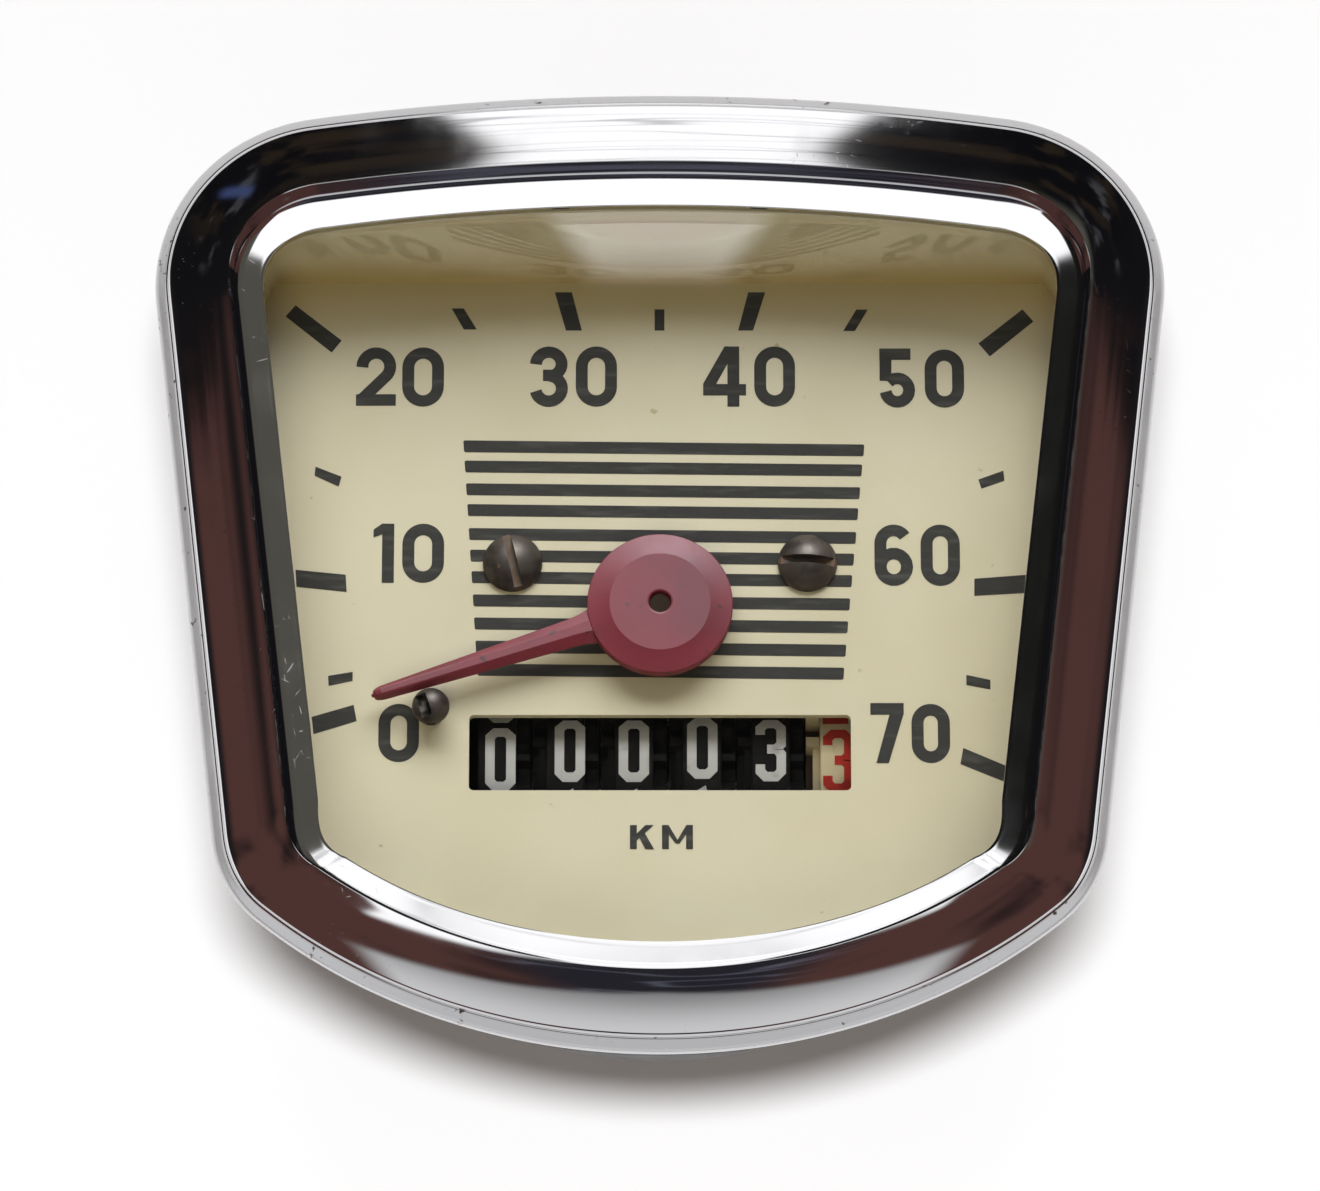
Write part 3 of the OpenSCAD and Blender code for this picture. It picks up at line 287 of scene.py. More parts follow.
def calculate(tree, operation, a, b=0.0):
    return add_node(tree, "ShaderNodeMath", [(0, a), (1, b)], operation=operation).outputs[0]


def smooth_range(tree, value, a, b, lo=0.0, hi=1.0):
    """lo where the value is a and hi where it is b, with a smooth change between them."""
    links = [("Value", value), ("From Min", a), ("From Max", b), ("To Min", lo), ("To Max", hi)]
    return add_node(tree, "ShaderNodeMapRange", links, interpolation_type="SMOOTHSTEP").outputs["Result"]


class Finish:
    """A principled shader whose colour, roughness and relief vary over the surface."""

    def __init__(self, name, rgb, rough, metal=0.0, **sockets):
        self.material = bpy.data.materials.new(name)
        self.material.use_nodes = True
        self.tree = self.material.node_tree
        self.shader = self.tree.nodes["Principled BSDF"]
        self.colour = (*linear(rgb), 1.0)
        self.rough = rough
        self.height = None
        self.put("Base Color", self.colour)
        self.put("Roughness", rough)
        self.put("Metallic", metal)
        for key, value in sockets.items():
            self.put(key.replace("_", " "), value)
        self.coords = self.node("ShaderNodeTexCoord").outputs["Object"]

    def put(self, socket, value):
        feed(self.tree, self.shader.inputs[socket], value)

    def node(self, kind, links=(), **values):
        return add_node(self.tree, kind, links, **values)

    def axis(self, letter):
        return self.node("ShaderNodeSeparateXYZ", [(0, self.coords)]).outputs[letter]

    def noise(self, scale, detail=3.0, stretch=(1, 1, 1), turn=(0, 0, 0), distortion=0.0):
        place = self.node("ShaderNodeMapping", [
            ("Vector", self.coords), ("Scale", [1 / c for c in stretch]), ("Rotation", turn),
        ], vector_type="TEXTURE")
        return self.node("ShaderNodeTexNoise", [
            ("Vector", place.outputs[0]), ("Scale", scale), ("Detail", detail), ("Distortion", distortion),
        ]).outputs["Fac"]

    def band(self, value, a, b, lo=0.0, hi=1.0):
        return smooth_range(self.tree, value, a, b, lo, hi)

    def calc(self, a, b, operation="ADD"):
        return calculate(self.tree, operation, a, b)

    def tag(self, name):
        return self.node("ShaderNodeAttribute", attribute_name=name).outputs["Fac"]

    def tint(self, fac, rgb):
        links = [(0, fac), (6, self.colour), (7, (*linear(rgb), 1.0))]
        self.colour = self.node("ShaderNodeMix", links, data_type="RGBA").outputs[2]
        self.put("Base Color", self.colour)

    def patches(self, rgb, scale, a, b, detail=4.0):
        """Another colour where noise rises from a to b."""
        self.tint(self.band(self.noise(scale, detail), a, b), rgb)

    def rougher(self, fac, amount):
        self.rough = self.calc(self.rough, self.calc(fac, amount, "MULTIPLY"))
        self.put("Roughness", self.rough)

    def relief(self, fac, depth):
        """A height in millimetres for a value of one."""
        links = [("Height", fac), ("Strength", 1.0), ("Distance", depth * MM)]
        if self.height is not None:
            links.append(("Normal", self.height))
        self.height = self.node("ShaderNodeBump", links).outputs[0]
        self.put("Normal", self.height)


def chrome():
    f = Finish("chrome", (228, 228, 230), 0.045, 1.0)
    f.relief(f.noise(70, 1.0), 0.012)
    marks = 0.0
    for turn in (0.25, 1.0, 1.8, 2.6):
        hair = f.band(f.noise(3600, 1.0, (0.1, 1, 1), (0, 0, turn), 0.3), 0.73, 0.79)
        marks = f.calc(marks, hair, "MAXIMUM")
    marks = f.calc(marks, f.band(f.noise(55, 2.0), 0.48, 0.66), "MULTIPLY")
    f.rougher(marks, 0.28)
    f.relief(marks, -0.0008)
    pits = f.band(f.noise(1500), 0.62, 0.7)
    spots = f.band(f.noise(300, 2.0), 0.5, 0.64)
    rim = f.tag("rim")
    f.tint(rim, (204, 204, 206))
    rim_pits = f.calc(f.calc(pits, spots, "MULTIPLY"), rim, "MULTIPLY")
    f.tint(rim_pits, (84, 76, 68))
    f.rougher(rim_pits, 0.4)
    f.rougher(rim, 0.08)
    rub = f.calc(f.tag("wear"), f.band(f.noise(900, 4.0), 0.42, 0.62), "MULTIPLY")
    f.tint(rub, (222, 221, 219))
    f.rougher(rub, 0.3)
    f.rougher(f.band(f.noise(160, 4.0), 0.45, 0.75), 0.04)
    return f.material


def metal(name, rgb, rough, shade, grain, stretch=(1, 1, 1), depth=0.003):
    f = Finish(name, rgb, rough, 1.0)
    f.patches(shade, 140, 0.42, 0.72)
    f.rougher(f.noise(grain, 3.0, stretch), 0.18)
    f.relief(f.noise(grain, 3.0, stretch), depth)
    return f.material


def plastic(name, rgb, rough, shade, grain=1600, depth=0.004):
    f = Finish(name, rgb, rough)
    f.patches(shade, 110, 0.42, 0.75)
    f.rougher(f.noise(700), 0.12)
    f.relief(f.noise(grain, 2.0), depth)
    return f.material


def dark_steel(name="dark_steel", slot=None, dust_and_shade_rgb=(118, 98, 82)):
    """Browned steel; slot gives the place, turn, floor and half width of a slot whose floor is tinted, with dust
    in the screws and with painted shade in the stop pin's notch.
    """
    f = Finish(name, (84, 77, 73), 0.36, 0.55, Specular_IOR_Level=0.6)
    f.patches((54, 48, 45), 500, 0.42, 0.66)
    f.patches((120, 98, 80), 1300, 0.68, 0.76, 3.0)
    f.rougher(f.noise(1200), 0.2)
    f.relief(f.noise(1600), 0.01)
    if slot:
        at, turn, bottom, half = slot
        place = f.node("ShaderNodeMapping", [
            ("Vector", f.coords), ("Location", [c * MM for c in at]), ("Rotation", (0, 0, turn)),
        ], vector_type="TEXTURE")
        across = f.node("ShaderNodeSeparateXYZ", [(0, place.outputs[0])]).outputs["Y"]
        inside = f.band(f.calc(across, 0.0, "ABSOLUTE"), 0.9 * half * MM, 0.7 * half * MM)
        deep = f.band(f.axis("Z"), (bottom + 0.02) * MM, bottom * MM)
        patchy = f.band(f.noise(1500), 0.34, 0.6)
        # The slot floor's tint is dust on the screws and painted shade in the stop pin's notch
        slot_dust_and_shade = f.calc(f.calc(inside, deep, "MULTIPLY"), patchy, "MULTIPLY")
        f.tint(slot_dust_and_shade, dust_and_shade_rgb)
        f.rougher(slot_dust_and_shade, 0.4)
    return f.material


def dial_paint():
    """Cream paint, with painted shade darkening it below the top wall."""
    f = Finish("dial_paint", (216, 210, 187), 0.46, Specular_IOR_Level=0.3)
    f.patches((209, 202, 176), 45, 0.4, 0.7)
    f.patches((188, 178, 148), 900, 0.74, 0.8, 2.0)
    # Painted shade: the dial's top strip under the wall turns browner and darker, where shade falls
    f.tint(f.band(f.axis("Y"), 22.5 * MM, 28 * MM), (197, 182, 136))
    f.rougher(f.noise(600), 0.1)
    f.relief(f.noise(2600, 2.0), 0.003)
    return f.material


def print_ink():
    f = Finish("print_ink", (63, 63, 63), 0.55, Specular_IOR_Level=0.2)
    f.tint(f.band(f.noise(1500, 4.0, (0.15, 1, 1)), 0.5, 0.75), (82, 82, 80))
    f.rougher(f.noise(900, 2.0), 0.12)
    f.relief(f.noise(3000, 2.0), 0.002)
    return f.material


def cream_paint():
    """Glossy cream paint, with painted shade darkening it towards the dial."""
    f = Finish("cream_paint", (214, 205, 176), 0.2, Coat_Weight=1.0, Coat_Roughness=0.02, Coat_IOR=2.0)
    f.patches((206, 195, 162), 60, 0.4, 0.7, 3.0)
    # Painted shade: browner and darker towards the foot of the wall, where it meets the dial
    f.tint(f.band(f.axis("Z"), (DIAL_TOP + 4.5) * MM, DIAL_TOP * MM), (188, 167, 114))
    f.rougher(f.noise(500), 0.05)
    f.relief(f.noise(100, 1.0), 0.0008)
    return f.material


def case_paint():
    f = Finish("case_paint", (62, 64, 66), 0.42)
    f.patches((78, 78, 76), 70, 0.45, 0.75, 5.0)
    f.patches((120, 118, 112), 900, 0.7, 0.76, 3.0)
    f.rougher(f.noise(400, 4.0), 0.2)
    f.relief(f.noise(1500), 0.012)
    return f.material


def drum_paint(name, rgb, shade, recess_shade=None):
    f = Finish(name, rgb, 0.5, Specular_IOR_Level=0.35)
    f.patches(shade, 700, 0.55, 0.78)
    # Painted shade: points tagged deep, in the recess of the drum's flank, take a dark brown
    if recess_shade:
        f.tint(f.tag("deep"), recess_shade)
    f.rougher(f.noise(1200), 0.15)
    f.relief(f.noise(2400, 2.0), 0.004)
    return f.material


def needle_red():
    f = Finish("needle_red", (120, 18, 38), 0.5, Specular_IOR_Level=0.95,
               Specular_Tint=(0.88, 0.94, 1.0, 1.0))
    f.patches((104, 16, 33), 160, 0.42, 0.7)
    f.patches((52, 16, 22), 1100, 0.66, 0.72, 3.0)
    f.rougher(f.noise(900), 0.1)
    f.relief(f.noise(1500), 0.003)
    return f.material


def glass():
    """Clear glass that throws no shadow."""
    f = Finish("glass", (250, 252, 250), 0.0, IOR=1.45, Transmission_Weight=1.0)
    f.rougher(f.band(f.noise(800, 3.0, (0.05, 1, 1)), 0.72, 0.8), 0.02)
    clear = f.node("ShaderNodeBsdfTransparent").outputs[0]
    shadow = f.node("ShaderNodeLightPath").outputs["Is Shadow Ray"]
    mix = f.node("ShaderNodeMixShader", [(0, shadow), (1, f.shader.outputs[0]), (2, clear)])
    feed(f.tree, f.tree.nodes["Material Output"].inputs["Surface"], mix.outputs[0])
    return f.material


FINISH = {
    "chrome": chrome(),
    "glass": glass(),
    "rubber": plastic("rubber", (34, 33, 32), 0.62, (44, 42, 40), 2200, 0.02),
    "cream_paint": cream_paint(),
    "dial_paint": dial_paint(),
    "needle_red": needle_red(),
    "dark_steel": dark_steel(),
    "case_paint": case_paint(),
    "steel": metal("steel", (176, 176, 178), 0.24, (150, 148, 146), 1800, (0.05, 1, 1)),
    "spring_steel": metal("spring_steel", (104, 112, 132), 0.22, (84, 92, 116), 1800),
    "dark_iron": metal("dark_iron", (84, 82, 80), 0.5, (66, 62, 60), 1300, depth=0.008),
    "brass": metal("brass", (206, 168, 92), 0.26, (178, 138, 72), 1500, (1, 1, 0.06)),
    "bronze": metal("bronze", (168, 118, 72), 0.34, (138, 92, 56), 1500),
    "zinc": metal("zinc", (150, 150, 148), 0.42, (126, 126, 124), 1100, depth=0.008),
    "aluminium": metal("aluminium", (196, 196, 198), 0.3, (178, 178, 180), 1600, (1, 1, 0.05)),
    "drum_black": drum_paint("drum_black", (20, 20, 21), (32, 31, 30)),
    # The beige drum's third colour is painted shade for the recess in its flank
    "drum_beige": drum_paint("drum_beige", (203, 190, 158), (184, 168, 134), (70, 54, 44)),
    "white_nylon": plastic("white_nylon", (222, 218, 206), 0.4, (208, 202, 186)),
}
INK = print_ink()
AGED = metal("aged_steel", (118, 106, 92), 0.46, (84, 74, 64), 1500, depth=0.01)
DIGIT_WHITE = drum_paint("digit_white", (196, 197, 198), (168, 168, 166))
DIGIT_RED = drum_paint("digit_red", (178, 52, 44), (150, 40, 34))

for part in frame["record"]["subparts"]:
    mesh = frame["nodes"][part["node"]].data
    mesh.materials.clear()
    mesh.materials.append(AGED if part["node"] == "needle_shaft" else FINISH[part["material_slot"]])


# Housing, and what is fixed at its back

def bezel():
    """Its section runs from the hem over the rim and the face to the lip, and back behind them."""
    hem, under, fold = HEM_Z - RIM_Z, GLASS_TOP - RIM_Z, GLASS_TOP - WALL - RIM_Z
    face_steps, band_steps, low_round = 24, 6, 0.6

    # Distance inwards, height, share of the rim's look, share of wear
    section = [
        (0.8, hem, 0, 0), (0.6, hem + 0.1, 0, 0), (0.42, hem + 0.4, 0, 0), (0.2, -1.35, 0.4, 0),
        (0.1, -0.95, 1, 0), (0.08, -0.75, 1, 0), (0.12, -0.58, 1, 0), (0.22, -0.44, 1, 0),
        (0.4, -0.25, 1, 0), (0.6, -0.05, 1, 0), (0.8, 0.16, 1, 0.1), (0.96, 0.325, 1, 0.2),
        (1.04, 0.39, 0.8, 0.1), (1.1, 0.405, 0.5, 0), (1.15, 0.45, 0.2, 0),
    ]
    for i in range(face_steps + 1):
        t = i / face_steps
        section.append((1.2 + 4.94 * t, 0.545 + 2.77 * t - 1.035 * t * t, 0, 0.35 * t ** 40))
    section += [(6.19, 2.243, 0, 0.5), (6.22, 2.1, 0, 0.1)]
    plain = [(6.46, 0.22), (6.56, 0.185), (6.7, 0.145), (6.9, 0.105)]
    plain += [(6.9 + 1.62 * i / band_steps, 0.105 - 0.2 * i / band_steps) for i in range(1, band_steps + 1)]
    plain += [(8.7, -0.115), (8.77, -0.13), (8.79, -0.16), (8.8, -0.24)]
    plain += [(8.8, under), (0.6, under), (0.6, fold), (1.4, fold), (1.4, hem)]
    section += [(u, z, 0, 0) for u, z in plain]

    rings = []
    for u, z, _, _ in section:
        outline = rim_points(LOW_R + low_round * max(0.0, u - 1))
        rings.append(ring(u, RIM_Z + z, BEZEL_K, rim=outline, lift=FOOT_LIFT))
    s = Shape(rings, closed=True)
    flank = [min(1.0, max(0.0, (abs(nx) - 0.9) / 0.08)) for _, _, nx, _ in RIM]
    tags = {"rim": [p[2] for p in section for _ in RIM], "wear": [p[3] * w for p in section for w in flank]}
    make("bezel_chromed", s, "housing", "chrome", ["bezel"], 40, tags)


def spacer():
    """Its inner wall leans to a straight line on the dial at the top."""
    line_y, steps, outer, ledge, inner = 28.2, 8, 5.4, 7.3, 8.3
    profile = [(ledge, DIAL_TOP), (ledge, SPACER_TOP - 1), (outer, SPACER_TOP - 1), (outer, SPACER_TOP),
               (inner - 0.1, SPACER_TOP), (inner, SPACER_TOP - 0.1)]
    rings = [ring(u, z, BEZEL_K) for u, z in profile]
    top, foot = rings[-1], ring(inner, DIAL_TOP, BEZEL_K, y_max=line_y)
    for i in range(1, steps + 1):
        t = i / steps
        rings.append([tuple(a + (b - a) * t for a, b in zip(p, q)) for p, q in zip(top, foot)])
    s = Shape(rings, closed=True)
    make("spacer_cream", s, "housing", "cream_paint", ["spacer_frame"], 30)


def gasket():
    u0, u1 = FLANGE_U, 3.3
    profile = [(u0 + 0.3, SEAT_Z), (u0 + 0.08, SEAT_Z + 0.12), (u0, SEAT_Z + 0.4), (u0, GASKET_TOP - 0.4),
               (u0 + 0.08, GASKET_TOP - 0.12), (u0 + 0.3, GASKET_TOP), (u1, GASKET_TOP), (u1, SEAT_Z)]
    s = Shape([ring(u, z, lift=FOOT_LIFT) for u, z in profile], closed=True)
    make("gasket_rubber", s, "housing", "rubber", ["panel_gasket"], 40)


def case():
    """It narrows to a rounded edge at the back, and has a flange and holes for nose and studs."""
    taper, inset, edge, steps, sides = 0.74, 3.5, 2.2, 6, 64
    inner, flange = inset + WALL, GLASS_TOP - WALL

    def share(z):
        return 1 - (1 - taper) * (SEAT_Z - min(z, SEAT_Z)) / (SEAT_Z - BACK_Z)

    def corner(u, z):
        turns = [math.pi / 2 * i / steps for i in range(steps + 1)]
        return [ring(u + edge * (1 - math.sin(a)), z + edge * (1 - math.cos(a)), 0, share(z + edge))
                for a in turns]

    walls = corner(inset, BACK_Z) + [
        ring(inset, SEAT_Z), ring(inset, flange), ring(FLANGE_U, flange, lift=FOOT_LIFT),
        ring(FLANGE_U, GLASS_TOP, lift=FOOT_LIFT), ring(inner, GLASS_TOP), ring(inner, SEAT_Z),
    ] + corner(inner, CASE_FLOOR)[::-1]
    s = Shape()
    s.loops(walls, caps=False)
    places = [((0, 0), NECK_R), ((-STUD_X, STUD_Y), STUD_NECK_R), ((STUD_X, STUD_Y), STUD_NECK_R)]
    back = [circle(r, BACK_Z, sides, at) for at, r in places]
    front = [circle(r, CASE_FLOOR, sides, at) for at, r in places]
    s.holed(walls[0], back)
    s.holed(walls[-1], front)
    for pair in zip(back, front):
        s.loops(pair, caps=False)
    make("case_painted", s, "housing", "case_paint", ["case_shell"], 35)


def nose():
    sides, plate, top = 72, CASE_FLOOR + 2, CASE_FLOOR + 4
    rings = turned([(4.0, 0.35), (4.3, 0.0), (5.3, 0.0), (5.45, 0.08)], sides)
    rings += thread(6.0, 0.55, 1.0, 0.4, 7.6, sides)
    rings += turned([(6.0, NUT_Z), (NECK_R, NUT_Z), (NECK_R, CASE_FLOOR), (11, CASE_FLOOR), (11, plate),
                     (5, plate), (5, top), (2.74, top), (2.74, 9.9), (2.9, 9.9), (2.9, 6.0), (4.0, 6.0)], sides)
    s = Shape(rings, closed=True)
    make("nose_threaded", s, "housing", "zinc", ["drive_nose"], 30)


def studs():
    sides, radius, head_r = 64, 2.5, 4.0
    s = Shape()
    for x in (-STUD_X, STUD_X):
        rings = turned([(1.9, 0.0), (2.0, 0.0)], sides)
        rings += thread(radius, 0.42, 0.8, 0.45, BACK_Z - 0.3, sides)
        rings += turned([(radius, BACK_Z), (STUD_NECK_R, BACK_Z), (STUD_NECK_R, CASE_FLOOR),
                         (head_r, CASE_FLOOR), (head_r, CASE_FLOOR + 1)], sides)
        s.loops([[(px + x, py + STUD_Y, pz) for px, py, pz in r] for r in rings])
    make("studs_threaded", s, "housing", "steel", ["mounting_studs"], 30)


def nut():
    half_flats, sides, hole_edge = 8.5, 96, 7.0

    def hexed(z, limit):
        loop = []
        for i in range(sides):
            a = 2 * math.pi * i / sides
            r = min(half_flats / math.cos(a % (math.pi / 3) - math.pi / 6), limit)
            loop.append((*polar(r, a), z))
        return loop

    chamfer = [(0.0, 8.6), (0.25, 9.1), (0.55, 9.9)]
    rings = [hexed(NUT_Z + h, r) for h, r in chamfer] + [hexed(NUT_TOP - h, r) for h, r in chamfer[::-1]]
    rings += turned([(hole_edge, NUT_TOP), (NECK_R, NUT_TOP - 0.3), (NECK_R, NUT_Z + 0.3), (hole_edge, NUT_Z)],
                    sides)
    s = Shape(rings, closed=True)
    make("nut_chamfered", s, "housing", "brass", ["nose_nut"], 25)


def washer():
    radius = 9.5
    profile = [(NECK_R, NUT_TOP), (radius - 0.15, NUT_TOP), (radius, NUT_TOP + 0.15), (radius, WASHER_TOP - 0.1),
               (radius - 0.1, WASHER_TOP), (NECK_R, WASHER_TOP)]
    s = Shape(turned(profile, 96), closed=True)
    make("washer_rounded", s, "housing", "steel", ["nose_washer"], 25)


# Needle, screws and stop

def carve(piece, cutter_shape):
    """Cut a shape out of a piece."""
    mesh = mesh_of("cutter", cutter_shape)
    cutter = bpy.data.objects.new("cutter", mesh)
    scene.collection.objects.link(cutter)
    cut = piece.modifiers.new("cut", "BOOLEAN")
    cut.operation, cut.object, cut.solver = "DIFFERENCE", cutter, "EXACT"
    bpy.context.view_layer.update()
    whole = bpy.data.meshes.new_from_object(piece.evaluated_get(bpy.context.evaluated_depsgraph_get()))
    piece.modifiers.clear()
    old = piece.data
    piece.data = whole
    whole.name = piece.name
    bpy.data.meshes.remove(old)
    bpy.data.objects.remove(cutter)
    bpy.data.meshes.remove(mesh)
    whole.set_sharp_from_angle(angle=math.radians(30))


def bar(at, turn, half_l, half_w, z0, z1):
    c, d = math.cos(turn), math.sin(turn)
    corners = [(-half_l, -half_w), (half_l, -half_w), (half_l, half_w), (-half_l, half_w)]
    return Shape([[(at[0] + x * c - y * d, at[1] + x * d + y * c, z) for x, y in corners] for z in (z0, z1)])


def dome(r, h, curve, z):
    """Profile of a domed head of radius r and height h on the plane z; its curve is a multiple of r."""
    big, steps = curve * r, 12
    edge = h - big + math.sqrt(big * big - r * r)
    out = [(AXIS_R, z), (r - 0.05, z), (r, z + 0.05), (r, z + edge - 0.06)]
    for i in range(steps + 1):
        rr = (r - 0.03) * (1 - i / steps) + AXIS_R
        out.append((rr, z + h - big + math.sqrt(big * big - rr * rr)))
    return out


def dial_screws():
    half, shank_r = 0.34, 1.0
    slot_z, shank_top, end = DIAL_TOP + 0.62, DIAL_TOP + 0.1, DIAL_TOP - 4
    shank = [(AXIS_R, end), (shank_r - 0.15, end), (shank_r, end + 0.2), (shank_r, shank_top),
             (AXIS_R, shank_top)]
    for name, x, degrees, nodes in (("left", -SCREW_X, 103, ["dial_screws"]), ("right", SCREW_X, -3, [])):
        at, turn = (x, SCREW_Y, 0), math.radians(degrees)
        s = Shape(turned(dome(2.4, 1.55, 1.25, DIAL_TOP), 72, at))
        s.loops(turned(shank, 40, at))
        finish = dark_steel("dark_steel_" + name, (at, turn, slot_z, half))
        piece = make("dial_screw_" + name, s, "housing", "dark_steel", nodes, material=finish)
        carve(piece, bar(at, turn, 3.0, half, slot_z, DIAL_TOP + 2))


def stop_pin():
    radius, a = 20.2, math.radians(204.848)
    at = (*polar(radius, a), 0)
    pin_r, neck_r, end, head_z = 0.75, 1.05, DIAL_TOP - 1, DIAL_TOP + 1.75
    pin = [(AXIS_R, end), (pin_r, end), (pin_r, DIAL_TOP), (neck_r, DIAL_TOP), (neck_r, head_z)]
    s = Shape(turned(pin + dome(1.5, 1.15, 1.15, head_z)[1:], 64, at))
    turn, slot_z = math.radians(108), DIAL_TOP + 2.05
    notch = (at[0] - 0.55, at[1] - 0.1, 0)
    # Painted shade: the notch's floor is tinted near black
    finish = dark_steel("dark_steel_stop", (notch, turn, slot_z, 0.6), (22, 20, 20))
    piece = make("stop_domed", s, "housing", "dark_steel", ["needle_stop"], 30, material=finish)
    carve(piece, bar(notch, turn, 0.95, 0.42, slot_z, DIAL_TOP + 4))


def needle():
    """Hub and arm in one; the arm lies at its rest angle."""
    angle, root_w, tip_w, taper_l, flare_x = math.radians(198.3), 2.9, 1.2, 23.4, 7.6
    c, d = math.cos(angle), math.sin(angle)
    hub = [(0.82, -HUB_DROP), (5.72, -HUB_DROP), (5.85, -0.28), (5.85, 0.64), (5.83, 0.69), (5.78, 0.72),
           (4.1, 1.17), (4.05, 1.19), (1.05, 1.2), (0.93, 1.16), (0.86, 1.0)]

    def section(x, w, h, side):
        """The arm's section at x: a flat top with sloping sides above an upright edge."""
        half, flat = w / 2, 0.36 * w / 2
        right = [(half - 0.08, 0), (half, 0.06), (half, side - 0.05), (half - 0.05, side + 0.04),
                 (flat + 0.08, h - 0.07), (flat - 0.06, h)]
        both = right + [(-y, z) for y, z in right[::-1]]
        return [(x * c - y * d, x * d + y * c, NEEDLE_Z + z) for y, z in both]

    def width(x):
        return root_w + (tip_w - root_w) * x / taper_l + 0.9 * max(0.0, (flare_x - x) / 2.6) ** 2

    stations = (4.6, 5.2, 5.8, 6.4, 7.0, 7.6, 9.0, 12.0, 16.0, 20.0, 23.0)
    arm = [section(x, width(x), 0.66, 0.2) for x in stations]
    arm += [section(23.5, 1.18, 0.64, 0.2), section(23.9, 0.98, 0.52, 0.18), section(24.1, 0.72, 0.4, 0.16),
            section(24.15, 0.3, 0.3, 0.12), section(24.3, 0.22, 0.26, 0.1)]
    s = Shape(turned(hub, 96, (0, 0, NEEDLE_Z)), closed=True)
    s.loops(arm)
    make("needle_moulded", s, "needle_set", "needle_red", ["needle"], 13)


# Printed marks and digits, drawn as ribbons of even width

def ribbon(path, w, closed=False, step=0.35, mitre=0.3):
    """Left and right edge of a ribbon along a path; mitre keeps sharp corners from running out."""
    pts = []
    for p, q in zip(path, path[1:] + path[:1] if closed else path[1:]):
        n = max(1, math.ceil(math.dist(p, q) / step))
        pts += [(p[0] + (q[0] - p[0]) * i / n, p[1] + (q[1] - p[1]) * i / n) for i in range(n)]
    if not closed:
        pts.append(path[-1])
    m = len(pts)
    left, right = [], []
    for i, p in enumerate(pts):
        a = pts[i - 1] if (closed or i) else None
        b = pts[(i + 1) % m] if (closed or i < m - 1) else None
        dirs = []
        for u, v in ((a, p), (p, b)):
            if u is not None and v is not None:
                d = math.dist(u, v)
                dirs.append(((v[0] - u[0]) / d, (v[1] - u[1]) / d))
        nx, ny = -sum(d[1] for d in dirs) / len(dirs), sum(d[0] for d in dirs) / len(dirs)
        k = w / 2 / max(nx * nx + ny * ny, mitre)
        left.append((p[0] + nx * k, p[1] + ny * k))
        right.append((p[0] - nx * k, p[1] - ny * k))
    return left, right


def lay(shape, path, w, at, depth, closed=False):
    """A ribbon along a path, placed by at(x, y, height), closed between the two depths."""
    z0, z1 = depth
    rings = []
    for p, q in zip(*ribbon(path, w, closed)):
        rings.append([at(*p, z0), at(*q, z0), at(*q, z1), at(*p, z1)])
    shape.loops(rings, closed=closed)


def arc(cx, cy, rx, ry, a0, a1, n=18):
    turns = [math.radians(a0 + (a1 - a0) * i / n) for i in range(n + 1)]
    return [(cx + rx * math.cos(a), cy + ry * math.sin(a)) for a in turns]


